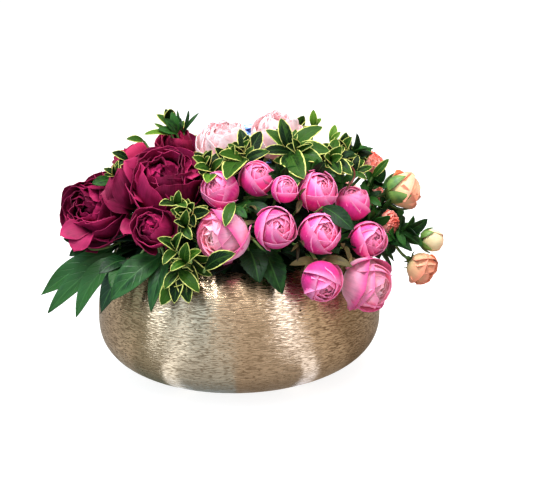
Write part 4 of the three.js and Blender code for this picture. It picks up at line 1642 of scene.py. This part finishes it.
STEMS = {
    "peony_1_stem": (3.2, ("peony_1",)),
    "peony_2_stem": (3.2, ("peony_2",)),
    "peony_3_stem": (2.6, ("peony_3",)),
    "peony_4_stem": (2.6, ("peony_4",)),
    "peony_5_stem": (2.6, ("peony_5",)),
    "peony_6_stem": (3.2, ("peony_6",)),
    "blush_peony_1_stem": (2.6, ("blush_peony_1",)),
    "blush_peony_2_stem": (2.6, ("blush_peony_2",)),
    "blush_peony_3_stem": (2.6, ("blush_peony_3",)),
    "hydrangea_stem": (3.2, ("hydrangea_1",)),
    "pink_spray_1": (2.2, ("pink_rose_1", "pink_rose_2", "pink_rose_3")),
    "pink_spray_2": (2.2, ("pink_rose_4", "pink_rose_5", "pink_rose_9")),
    "pink_spray_3": (2.2, ("pink_rose_6", "pink_rose_7")),
    "pink_spray_4": (2.2, ("pink_rose_8", "pink_rose_10", "pink_rose_11")),
    "peach_spray": (2.0, ("peach_rose_1", "peach_rose_2", "peach_rose_3")),
    "coral_spray_1": (1.8, ("coral_rose_1", "coral_rose_2", "coral_rose_3")),
    "coral_spray_2": (1.8, ("coral_rose_4", "coral_rose_5")),
}


@dataclass
class Spray:
    """A flower's stem with its branches, sepals and large leaves."""

    node: str
    radius: float
    heads: tuple[str, ...]
    thinner: float = 0.8
    routes: list[Strand] = field(default_factory=list)

    def swell(self, points: list[Vector], bloom: Bloom, radius: float) -> None:
        """Keeps a stem that swells under a bloom.

        Args:
            points: The stem's points, up to its neck.
            bloom: The bloom that it carries.
            radius: The stem's radius.
        """
        calyx = bloom.middle - bloom.axis * (SEAT * bloom.radius)
        swelling = [calyx - bloom.axis * (down * bloom.neck) for down, _ in SWELLINGS]
        radii = [radius] * len(points) + [share * bloom.radius for _, share in SWELLINGS]
        self.routes.append((points + swelling, radii))

    def neck(self, bloom: Bloom) -> Vector:
        """Where a stem meets the swelling under a bloom.

        Args:
            bloom: The bloom.

        Returns:
            The point.
        """
        down = SEAT * bloom.radius + GAP + bloom.neck - OVERLAP
        return bloom.middle - bloom.axis * down

    def build(self, sepal: Blank, leaf: Blank, dice: random.Random) -> None:
        """Builds the piece and seats it.

        Args:
            sepal: The blank that sepals are bent from.
            leaf: The blank that leaves are bent from.
            dice: What its unevenness is drawn from.
        """
        solid = Solid(self.node)
        first, *others = [BLOOMS[name] for name in self.heads]
        main = Route.standing(self.neck(first), first.axis, self.radius, solid)
        self.swell([main.foot, *main.fine], first, self.radius)
        for bloom in others:
            thin = self.thinner * self.radius
            self.swell(main.branch(self.neck(bloom), bloom.axis, thin, solid), bloom, thin)
        greens, finishes = Sheaf(), [SEPAL, DRY_SEPAL, PEONY_LEAF, ROSE_LEAF]
        for name in self.heads:
            bloom = BLOOMS[name]
            is_dry = name.startswith("pink") and not bloom.hugged
            bloom.sepals(sepal, greens, dice, finishes.index(DRY_SEPAL if is_dry else SEPAL))
        for large in LARGE_LEAVES.get(self.node, ()):
            kind = ROSE_LEAF if large.toothed else PEONY_LEAF
            end = large.add(leaf, greens, solid, dice, finishes.index(kind))
            start = min(main.path, key=lambda point: (point - end).length)
            self.routes.append(([start, (start + end) / 2, end], LEAF_STALK))
        stems = tubes(self.node + "_stems", self.routes, STEM)
        leaves = greens.piece(self.node + "_leaves", finishes, LEAF_THICKNESS)
        seat(joined(self.node + "_greenery", leaves, stems), "green_stems", self.node)


@dataclass(frozen=True)
class Sprig:
    """A leafy sprig. Its leaves start at a point and climb along aim for the length.

    stem and tip are its stem's radii. pitch is how far the first and the last leaves lean from it, and
    shrinking how long they are in shares of blade. partner is the length of a pair's second leaf and
    half is half a leaf's width, in shares of the leaf's length.
    """

    at: Point
    aim: Point
    length: float
    leaves: int
    blade: float
    finish: Finish = VARIEGATED
    stem: float = 1.6
    tip: float = 0.8
    pitch: Pair = (1.35, 0.35)
    shrinking: Pair = (1, 0.78)
    partner: float = 0.85
    half: float = 0.27
    first_way: Point = (0.4, 0.3, -0.86)

    def build(self, name: str, blank: Blank, dice: random.Random, node: str = "") -> None:
        """Builds the sprig and seats it.

        Args:
            name: The new piece's name.
            blank: The blank that a leaf is bent from.
            dice: What its unevenness is drawn from.
            node: The frame's solid that it stands for, if there is one.
        """
        solid = Solid(node) if node else None
        base, axis = Vector(self.at), Vector(self.aim).normalized()
        route = Route.standing(base, axis, PACKED_SPRIG, solid)
        stem = [route.foot, *route.fine, base + axis * self.length]
        radii = [self.stem] * (len(stem) - 1) + [self.tip]
        sheaf = Sheaf()
        across = Vector(self.first_way).cross(axis).normalized()
        other = axis.cross(across)
        for number, is_partner in product(range(self.leaves), (False, True)):
            share = (number + 0.5) / self.leaves
            turn = number * GOLDEN_ANGLE + (math.pi if is_partner else 0)
            out = across * math.cos(turn) + other * math.sin(turn)
            pitch = between(self.pitch, share)
            along = axis * math.cos(pitch) + out * math.sin(pitch)
            face = axis * math.sin(pitch) - out * math.cos(pitch)
            length = self.blade * between(self.shrinking, share) * (self.partner if is_partner else 1)
            half = self.half * length
            root = base + axis * (share * self.length)
            probes = [Vector((length, 0, -0.16 * half)), Vector((0.36 * length, half, 0.4 * half))]
            is_packed = solid is not None and not is_partner
            pose = matched(root, along, face, probes, solid if is_packed else None)
            spine = [pose @ Vector((length * place, 0, 0)) for place in (0.4, 0.7, 1)]
            if not is_packed and not all(is_open(point) for point in spine):
                continue
            points = laid(SPRIG_FORM.bent(blank, length, 2 * half, dice), pose)
            sheaf.add(blank, points, dice.random())
        leaves = sheaf.piece(name + "_blades", [self.finish], LEAF_THICKNESS)
        stems = tubes(name + "_stem", [(stem, radii)], STEM)
        seat(joined(name, leaves, stems), "variegated_leaves", *([node] if node else []))


SPRIGS = (
    Sprig((62, -34, 226), (0.12, -0.7, 0.7), 26, 7, 34),
    Sprig((12, -44, 230), (-0.1, -0.6, 0.79), 22, 6, 27),
    Sprig((-24, -62, 226), (-0.2, -0.7, 0.68), 18, 6, 26),
    Sprig((-42, -108, 194), (-0.15, -0.9, 0.4), 22, 6, 25),
    Sprig((-40, -120, 160), (-0.25, -0.8, -0.55), 34, 7, 27),
    Sprig((-60, 42, 234), (-0.25, -0.1, 0.96), 28, 6, 32),
    Sprig((104, -14, 222), (0.25, -0.5, 0.83), 24, 6, 28),
    Sprig((108, 26, 206), (0.75, -0.2, 0.63), 30, 6, 28),
    Sprig((-112, -24, 210), (-0.5, -0.5, 0.7), 20, 5, 22),
    Sprig((58, 72, 218), (0.3, 0.4, 0.86), 26, 6, 32),
    Sprig((52, 128, 172), (0.35, 0.85, 0.38), 30, 5, 32),
    Sprig((-92, 112, 168), (-0.5, 0.8, 0.2), 28, 5, 32),
)

# Sprigs that fill the arrangement between the frame's own ones.
FILLING_SPRIGS = (
    Sprig((92, -44, 226), (0.2, -0.8, 0.5), 18, 6, 30),
    Sprig((112, -6, 224), (0.5, -0.3, 0.6), 16, 4, 34, ROSE_LEAF),
    Sprig((-7, -58, 232), (0.1, -0.7, 0.6), 14, 5, 25),
    Sprig((156, -26, 150), (0.5, -0.4, 0.2), 26, 5, 34, ROSE_LEAF),
    Sprig((48, -84, 226), (0.1, -0.9, 0.3), 10, 4, 24, ROSE_LEAF),
    Sprig((80, -66, 222), (0.1, -0.9, 0.5), 12, 5, 26, ROSE_LEAF),
    Sprig((106, -56, 190), (0.2, -0.9, 0.2), 12, 4, 24, ROSE_LEAF),
    Sprig((142, -14, 176), (0.5, -0.6, 0.2), 14, 4, 26, ROSE_LEAF),
    Sprig((140, -10, 196), (0.3, -0.5, 0.5), 12, 5, 26, ROSE_LEAF),
    Sprig((130, -30, 166), (0.5, -0.6, 0.1), 16, 5, 28, ROSE_LEAF),
    Sprig((150, 0, 168), (0.5, -0.4, 0.2), 14, 5, 28, ROSE_LEAF),
)


@dataclass(frozen=True)
class Rosette:
    """Leaves that spread from one point, each to a tip of its own."""

    at: Point
    tips: tuple[Point, ...]
    width: float = 0.4
    finish: Finish = VARIEGATED
    form: LeafForm = BROAD_FORM
    slot: str = "variegated_leaves"
    stalk: float = 1.2

    def build(self, name: str, blank: Blank, dice: random.Random) -> None:
        """Builds the rosette and its stem, and seats them.

        Args:
            name: The new piece's name.
            blank: The blank that a leaf is bent from.
            dice: What its unevenness is drawn from.
        """
        root, sheaf = Vector(self.at), Sheaf()
        for tip in self.tips:
            along = Vector(tip) - root
            face = Vector((dice.uniform(-0.3, 0.3), -0.75, 0.65)).normalized()
            pose = leaf_frame(root, along.normalized(), face)
            length = along.length
            points = laid(self.form.bent(blank, length, self.width * length, dice), pose)
            sheaf.add(blank, points, dice.random())
        ways = sum((Vector(tip) - root for tip in self.tips), Vector())
        aim = (ways.normalized() + UPRIGHT).normalized()
        route = Route.standing(root, aim, self.stalk)
        leaves = sheaf.piece(name + "_blades", [self.finish], LEAF_THICKNESS)
        stem = [route.foot, *route.fine]
        stems = tubes(name + "_stem", [(stem, [self.stalk] * len(stem))], STEM)
        seat(joined(name, leaves, stems), self.slot)


ROSETTES = (
    Rosette(
        (56, -48, 245),
        ((48, -42, 279), (89, -42, 270), (95, -66, 249), (87, -80, 241), (67, -102, 230), (58, -104, 220),
         (33, -44, 268), (63, -40, 267), (29, -64, 250), (43, -34, 267)),
    ),
    Rosette(
        (10, -64, 238),
        ((7, -48, 270), (28, -46, 267), (35, -66, 250), (-13, -88, 253), (-6, -116, 235), (20, -60, 254),
         (16, -50, 258)),
    ),
    Rosette((-22, -76, 232), ((-17, -66, 249), (-37, -96, 242), (-10, -80, 246)), 0.46),
    Rosette((-22, -90, 232), ((-25, -112, 230),), 0.6, LIME_LEAF),
    Rosette((97, -52, 236), ((112, -40, 248), (116, -78, 227), (105, -84, 230), (104, -30, 255))),
    Rosette((99, -44, 234), ((122, -40, 242),), 0.36, ROSE_LEAF),
    Rosette((122, -40, 220), ((126, -30, 237), (140, -34, 226), (133, -50, 216), (132, -20, 231))),
    Rosette((141, -22, 212), ((158, -22, 231),), 0.34, LIME_LEAF),
    Rosette((82, -6, 262), ((82, -6, 281), (90, 0, 271)), 0.44, LIME_LEAF),
    Rosette((99, -16, 246), ((109, -16, 259), (109, -24, 245), (104, -6, 265)), 0.4, LIME_LEAF),
    Rosette((0, -130, 212), ((-8, -156, 196),), 0.36),
    Rosette((-28, -148, 152), ((0, -166, 172),), 0.42),
    Rosette((12, -110, 205), ((37, -130, 199),), 0.42, ROSE_LEAF),
    Rosette((86, -108, 201), ((113, -138, 186),), 0.42, ROSE_LEAF),
    Rosette((-55, -118, 207), ((-69, -140, 215), (-52, -126, 224), (-45, -140, 212), (-60, -120, 218)), 0.46),
    Rosette((-49, -132, 190), ((-44, -146, 209), (-55, -150, 200), (-40, -152, 183)), 0.42),
    Rosette((-55, -140, 169), ((-70, -158, 186), (-60, -150, 182), (-67, -160, 162), (-49, -160, 191))),
    Rosette((-46, -144, 158), ((-60, -162, 156), (-44, -162, 181), (-32, -160, 174)), 0.42, LIME_LEAF),
    Rosette(
        (-54, -142, 150),
        ((-71, -158, 121), (-58, -162, 124), (-44, -162, 124), (-67, -160, 138), (-34, -160, 134)),
        0.44,
    ),
    Rosette((-60, 0, 258), ((-71, -10, 276), (-64, 0, 281), (-78, -14, 266), (-56, 6, 274)), 0.4, ROSE_LEAF),
    Rosette((-66, -4, 258), ((-92, -18, 262), (-82, -8, 271)), 0.24, LIME_LEAF),
    Rosette((-53, 6, 258), ((-47, 8, 281), (-37, 10, 278), (-59, 6, 282)), 0.16, ROSE_LEAF),
    Rosette(
        (108, -50, 212),
        ((94, -64, 223), (104, -44, 232), (127, -42, 222), (98, -70, 208)),
        0.4,
        ROSE_LEAF,
    ),
    Rosette(
        (136, -28, 191),
        ((128, -36, 207), (148, -44, 187), (133, -48, 180), (150, -30, 199)),
        0.4,
        ROSE_LEAF,
    ),
    Rosette((-150, -66, 156), ((-170, -84, 170), (-166, -84, 152)), 0.42, PEONY_LEAF),
    Rosette((80, -124, 151), ((53, -144, 154), (112, -140, 150), (66, -150, 147)), 0.3, DRY_LEAF),
    Rosette((138, -58, 156), ((152, -68, 146), (160, -50, 153), (143, -80, 141)), 0.5, ROSE_LEAF),
    Rosette((165, -38, 159), ((182, -46, 154), (182, -36, 165), (172, -52, 146)), 0.42, ROSE_LEAF),
    Rosette((65, -94, 205), ((60, -122, 199), (69, -112, 221)), 0.2, DRY_LEAF),
    Rosette((14, -112, 202), ((22, -136, 206), (30, -134, 196)), 0.14, DRY_LEAF),
    Rosette((61, -118, 168), ((60, -140, 156), (66, -146, 172), (54, -142, 166)), 0.14, DRY_LEAF),
    Rosette((106, -96, 158), ((110, -126, 152), (104, -124, 164)), 0.16, DRY_LEAF),
    Rosette((-1, -118, 204), ((12, -136, 199),), 0.4, ROSE_LEAF),
    Rosette((-108, -80, 144), ((-133, -114, 143), (-121, -124, 131)), 0.4, PEONY_LEAF),
    Rosette((-106, -56, 242), ((-120, -66, 252), (-114, -70, 240)), 0.5),
    Rosette((-92, -28, 256), ((-108, -40, 261),), 0.42),
    Rosette((-124, -54, 222), ((-141, -70, 222),), 0.5, ROSE_LEAF),
)


@dataclass(frozen=True)
class LoosePetals(Rosette):
    """Loose outer petals that lie between the burgundy heads."""

    width: float = 0.75
    finish: Finish = BURGUNDY
    form: LeafForm = GUARD_FORM
    slot: str = "burgundy_petals"


GUARD_PETALS = (
    LoosePetals((-101, -58, 192), ((-122, -70, 226), (-131, -76, 212)), 0.8),
    LoosePetals((-95, -64, 197), ((-112, -88, 238), (-96, -94, 214))),
    LoosePetals((-88, -66, 210), ((-104, -84, 246),)),
    LoosePetals((-146, -70, 174), ((-173, -86, 174), (-160, -94, 160))),
    LoosePetals((-96, -70, 178), ((-82, -104, 202), (-108, -98, 178)), 0.8),
    LoosePetals((-48, -50, 226), ((-28, -72, 240), (-40, -90, 232)), 0.8),
)


@dataclass(frozen=True)
class Undergrowth:
    """Dark leaves that fill the mound under the blooms and fall over the bowl's rim.

    middle and reach are the mound's middle and half its sizes. A leaf's length is drawn from sizes, in
    shares of blade, and the place of its root from layer, in shares of reach. rooted is how far out
    its stalk's foot stands, in shares of the root's distance.
    """

    leaves: int = 620
    collar: int = 90
    middle: Point = (12, 0, 112)
    reach: Point = (138, 112, 116)
    blade: float = 44.0
    sizes: Pair = (0.7, 1.1)
    width: float = 0.55
    lowest: float = 0.02
    layer: Pair = (0.7, 0.94)
    rim: Pair = (106.0, 148.0)
    clearance: float = 1.04
    rooted: float = 0.7
    root_depth: float = 6.0
    bow: Point = (0, 0, 4)
    stalk: Point = (1.2, 1.0, 0.7)

    def mound(self, dice: random.Random) -> Iterator[tuple[Vector, Vector, Vector]]:
        """Where the leaves of the mound grow.

        Args:
            dice: What their places are drawn from.

        Yields:
            A root, the way the leaf points and the way it faces.
        """
        for number in range(self.leaves):
            rise = (number + 0.5) / self.leaves * (1 - self.lowest) + self.lowest
            around, flat = number * GOLDEN_ANGLE, math.sqrt(1 - rise**2)
            out = Vector((flat * math.cos(around), flat * math.sin(around), rise))
            share = dice.uniform(*self.layer)
            root = Vector([m + r * o * share for m, r, o in zip(self.middle, self.reach, out)])
            loose = Vector([dice.uniform(-1, 1) for _ in range(3)])
            along = (loose - out * loose.dot(out) + out * dice.uniform(0.0, 0.7)).normalized()
            yield root, along, (out + Vector([dice.uniform(-0.5, 0.5) for _ in range(3)])).normalized()

    def fringe(self, dice: random.Random) -> Iterator[tuple[Vector, Vector, Vector]]:
        """Where the leaves that fall over the rim grow.

        Args:
            dice: What their places are drawn from.

        Yields:
            A root, the way the leaf points and the way it faces.
        """
        for number in range(self.collar):
            turn = 2 * math.pi * (number + dice.uniform(-0.4, 0.4)) / self.collar
            out = Vector((math.cos(turn), math.sin(turn), 0))
            root = out * (self.rim[0] - dice.uniform(0, 14))
            root.z = self.rim[1] + dice.uniform(-2, 12)
            along = out + Vector((-out.y, out.x, 0)) * dice.uniform(-0.8, 0.8)
            along.z = dice.uniform(-0.35, 0.25)
            yield root, along.normalized(), UPRIGHT

    def build(self, blank: Blank, dice: random.Random) -> None:
        """Builds the leaves and seats them as one piece.

        Args:
            blank: The blank that a leaf is bent from.
            dice: What their places are drawn from.
        """
        sheaf, bowl, routes = Sheaf(), Bowl(), []
        for root, along, face in chain(self.mound(dice), self.fringe(dice)):
            length = self.blade * dice.uniform(*self.sizes)
            pose = leaf_frame(root, along, face)
            probes = [pose @ Vector((length * place, 0, 0)) for place in (0, 0.3, 0.6, 1)]
            if not all(is_open(probe, self.clearance) for probe in probes) or bowl.is_crossed(probes):
                continue
            points = laid(SPRIG_FORM.bent(blank, length, self.width * length, dice), pose)
            sheaf.add(blank, points, dice.random(), 0.0, dice.choice((0, 0, 1)))
            foot = Vector((root.x, root.y, 0)) * self.rooted
            foot.z = BLOCK.top(foot.xy.length) - self.root_depth
            routes.append(([foot, (foot + root) / 2 + Vector(self.bow), root], list(self.stalk)))
        leaves = sheaf.piece("undergrowth_blades", [SHADE_LEAF, ROSE_LEAF], THIN)
        stems = tubes("undergrowth_stems", routes, STEM)
        seat(joined("undergrowth", leaves, stems), "variegated_leaves")


# ---- Studio ----

FLOOR_TONE = (0.14, 0.13, 0.12, 1)  # what the floor gives back to the flowers
FLOOR_SEEN = (0.36, 0.36, 0.36, 1)
BACKDROP = (1.05, 1.05, 1.05, 1)
BAND_PIVOT = math.radians(39)  # the band that stays in place when the bands are stretched
ROOM_BANDS = (  # degrees round from straight ahead to the right, and the light that comes from there
    (-180, (0.44, 0.42, 0.38)),
    (-140, (0.46, 0.46, 0.42)),
    (-134, (0.78, 0.80, 0.74)),
    (-110, (0.78, 0.80, 0.74)),
    (-106, (0.29, 0.39, 0.34)),
    (-76, (0.30, 0.41, 0.37)),
    (-73, (3.40, 4.10, 4.90)),
    (-64, (3.10, 3.80, 4.50)),
    (-59, (0.82, 1.10, 1.34)),
    (-20, (0.80, 1.08, 1.32)),
    (-17, (0.77, 0.72, 0.67)),
    (31, (0.75, 0.70, 0.64)),
    (34, (3.30, 3.70, 4.60)),
    (44, (3.30, 3.70, 4.60)),
    (48, (0.92, 0.82, 0.69)),
    (78, (0.86, 0.74, 0.58)),
    (82, (0.38, 0.28, 0.17)),
    (180, (0.38, 0.32, 0.26)),
)


def fill_room(graph: Graph, given: Outputs, result: Inputs) -> None:
    """Shows the light from each side of the room as broad upright bands.

    Args:
        graph: The group's graph.
        given: The group's inputs, as sockets to read.
        result: The group's outputs, as sockets to feed.
    """
    turn = graph.maths("ARCTAN2", given["X"], graph.maths("MULTIPLY", given["Y"], -1.0))
    turn = graph.maths("SUBTRACT", turn, BAND_PIVOT)
    turn = graph.maths("MULTIPLY_ADD", turn, given["Stretch"], BAND_PIVOT)
    ramp = graph.node("ValToRGB")
    graph.put(ramp.inputs[0], graph.maths("MULTIPLY_ADD", turn, 0.5 / math.pi, 0.5))
    stops = ramp.color_ramp.elements
    stops.remove(stops[-1])
    for number, (degrees, light) in enumerate(ROOM_BANDS):
        stop = stops[0] if number == 0 else stops.new(degrees / 360 + 0.5)
        stop.position = degrees / 360 + 0.5
        stop.color = (*light, 1)
    graph.put(result["Colour"], ramp.outputs[0])


ROOM_LIGHT = Effect("room bands", dict(X=0.0, Y=0.0, Stretch=1.0), ("Colour",), fill_room)


@dataclass(frozen=True)
class Studio:
    """The camera, the lights and the pale floor."""

    elevation: float = 14.0
    distance: float = 1.4
    roll: float = 1.3
    aim: Point = (0.0307, 0.0, 0.1439)
    lens: float = 89.2
    sensor: float = 36.0
    from_floor: float = 0.4
    floor_stretch: float = 1.4
    floor_size: float = 6.0
    lit_height: float = 0.13

    def camera(self) -> None:
        """Stands the camera in front of the bowl, a little above its rim."""
        rise = math.radians(self.elevation)
        back = Vector((0, -math.cos(rise), math.sin(rise)))
        data = bpy.data.cameras.new("camera")
        data.lens = self.lens
        data.sensor_width = self.sensor
        camera = bpy.data.objects.new("camera", data)
        camera.location = Vector(self.aim) + back * self.distance
        level = (-back).to_track_quat("-Z", "Y")
        camera.rotation_mode = "QUATERNION"
        camera.rotation_quaternion = level @ Quaternion(UPRIGHT, -math.radians(self.roll))
        bpy.context.scene.collection.objects.link(camera)
        bpy.context.scene.camera = camera

    def softbox(self, name: str, place: Point, size: Pair, power: float) -> None:
        """Adds a soft lamp that looks at the flowers.

        Args:
            name: Its name.
            place: Where it stands, in metres.
            size: Its width and height, in metres.
            power: Its power in watts.
        """
        data = bpy.data.lights.new(name, "AREA")
        data.shape = "RECTANGLE"
        data.size, data.size_y = size
        data.energy = power
        lamp = bpy.data.objects.new(name, data)
        lamp.location = place
        lamp.rotation_mode = "QUATERNION"
        lamp.rotation_quaternion = (Vector((0, 0, self.lit_height)) - lamp.location).to_track_quat("-Z", "Z")
        bpy.context.scene.collection.objects.link(lamp)

    def floor(self) -> None:
        """Lays the pale floor."""
        deselect_all()
        bpy.ops.mesh.primitive_plane_add(size=self.floor_size, location=(0, 0, -0.5 * MM))
        floor = bpy.context.object
        floor.name = "floor"
        material = bpy.data.materials.new("pale floor")
        material.use_nodes = True
        surface = material.node_tree.nodes["Principled BSDF"]
        graph = Graph(material.node_tree)
        place = graph.node("TexCoord").outputs["Object"]
        span = graph.node("VectorMath", {"operation": "LENGTH"})
        graph.put(span.inputs[0], place)
        seen = graph.node("LightPath").outputs["Is Camera Ray"]
        glow = graph.smooth(span.outputs["Value"], 0.15, 0.5, 0.86, 0.98)
        strength = graph.node("Mix", {"data_type": "FLOAT"}, A=self.from_floor, B=glow, Factor=seen)
        graph.fill(
            surface,
            Base_Color=graph.mix(seen, FLOOR_TONE, FLOOR_SEEN),
            Roughness=0.9,
            Specular_IOR_Level=0.1,
            Emission_Color=graph.mix(seen, self.bands(graph, place, self.floor_stretch), WHITE),
            Emission_Strength=strength.outputs[0],
        )
        floor.data.materials.append(material)

    def bands(self, graph: Graph, place: Socket, stretch: float = 1.0) -> Socket:
        """The light from the side of the room that a direction points to.

        Args:
            graph: The graph that asks.
            place: The direction's socket.
            stretch: How far the bands are pushed together about their pivot.

        Returns:
            The light's colour socket.
        """
        parts = graph.node("SeparateXYZ", Vector=place).outputs
        return graph.group(ROOM_LIGHT, X=parts[0], Y=parts[1], Stretch=stretch)[0]

    def sky(self) -> None:
        """Fills the room with soft light from each side, and pure white straight ahead."""
        world = bpy.data.worlds.new("room")
        bpy.context.scene.world = world
        world.use_nodes = True
        graph = Graph(world.node_tree)
        background = world.node_tree.nodes["Background"]
        tone = self.bands(graph, graph.node("TexCoord").outputs["Generated"])
        seen = graph.node("LightPath").outputs["Is Camera Ray"]
        graph.put(background.inputs["Color"], graph.mix(seen, tone, BACKDROP))

    def build(self) -> None:
        """Sets the whole studio up."""
        self.camera()
        self.floor()
        self.sky()
        self.softbox("overhead lamp", (0.0, -0.4, 2.0), (1.8, 1.8), 43)
        self.softbox("key lamp", (-0.5, -0.5, 2.05), (0.5, 0.5), 31)
        bpy.context.scene.view_settings.view_transform = "Standard"


# ---- Assembly ----


@dataclass(frozen=True)
class Twig:
    """A bare red twig that curls out over the roses."""

    way: tuple[Point, ...] = (
        (64, -20, 140),
        (92, -52, 168),
        (106, -70, 198),
        (113, -64, 210),
        (120, -57, 219),
        (119, -57, 228),
        (109, -62, 236),
    )
    radius: float = 1.5
    taper: float = 0.7
    steps: int = 8

    def line(self) -> list[Vector]:
        """A smooth line through the points of its way.

        Returns:
            The line's points.
        """
        ways = [Vector(point) for point in self.way]
        line = [ways[0]]
        for number in range(len(ways) - 1):
            before, after = ways[max(number - 1, 0)], ways[min(number + 2, len(ways) - 1)]
            start, end = ways[number], ways[number + 1]
            first, second = start + (end - before) / 6, end - (after - start) / 6
            line += interpolate_bezier(start, first, second, end, self.steps)[1:]
        return [Vector(point) for point in line]

    def build(self) -> None:
        """Builds the twig and seats it."""
        line = self.line()
        radii = [self.radius - self.taper * number / len(line) for number in range(len(line))]
        seat(tubes("red_twig", [(line, radii)], TWIG), "green_stems")


@dataclass(frozen=True)
class Bouquet:
    """The flowers, their stems and the foliage, each piece drawn from dice of its own.

    Each field is how many faces a blank has across it and along it.
    """

    petal: tuple[int, int] = (12, 10)
    floret: tuple[int, int] = (4, 5)
    sepal: tuple[int, int] = (4, 8)
    leaf: tuple[int, int] = (12, 20)
    small_leaf: tuple[int, int] = (6, 10)
    broad_leaf: tuple[int, int] = (8, 12)
    hidden_leaf: tuple[int, int] = (4, 6)

    def dice(self, name: str) -> random.Random:
        """Dice that always fall the same way for a name."""
        return random.Random(f"{SEED} {name}")

    def heads(self) -> None:
        """Builds the flower heads."""
        petal, floret = Blank(*self.petal), Blank(*self.floret)
        for node, bloom in BLOOMS.items():
            dress, dice = DRESSES[node.rsplit("_", 1)[0]], self.dice(node)
            if bloom.kind is Kind.HYDRANGEA:
                petals = bloom.florets(floret, dice)
            else:
                turned = bloom.opened(*OPENINGS[node]) if node in OPENINGS else bloom
                petals = turned.petals(petal, dice)
            finishes = [OWN_OUTSIDES.get(node, dress.outside), dress.inside]
            seat(petals.piece(node + "_petals", finishes, THIN, 1), dress.slot, node)

    def stems(self) -> None:
        """Builds the heads' stems."""
        sepal, leaf = Blank(*self.sepal), Blank(*self.leaf)
        for node, (radius, heads) in STEMS.items():
            Spray(node, radius, heads).build(sepal, leaf, self.dice(node))

    def sprigs(self) -> None:
        """Builds the frame's sprigs and the ones between them."""
        leaf = Blank(*self.small_leaf)
        for number, sprig in enumerate(SPRIGS, 1):
            node = f"foliage_sprig_{number}"
            sprig.build(node + "_leaves", leaf, self.dice(node), node)
        for number, sprig in enumerate(FILLING_SPRIGS, 1):
            name = f"filling_sprig_{number}_leaves"
            sprig.build(name, leaf, self.dice(name))

    def fillings(self) -> None:
        """Builds the rosettes, the loose petals and the undergrowth."""
        leaf = Blank(*self.broad_leaf)
        for label, row in (("rosette", ROSETTES), ("guard_petals", GUARD_PETALS)):
            for number, filling in enumerate(row, 1):
                name = f"{label}_{number}"
                filling.build(name, leaf, self.dice(name))
        Undergrowth().build(Blank(*self.hidden_leaf), random.Random(SEED))

    def build(self) -> None:
        """Builds the heads, their stems and then the foliage."""
        self.heads()
        self.stems()
        self.sprigs()
        self.fillings()


def main() -> None:
    """Builds the centerpiece."""
    logging.basicConfig(level=logging.INFO, format="%(name)s %(message)s")
    Studio().build()
    Bowl().build()
    BLOCK.build()
    Bouquet().build()
    Twig().build()
    deselect_all()
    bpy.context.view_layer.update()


if __name__ == "__main__":
    main()
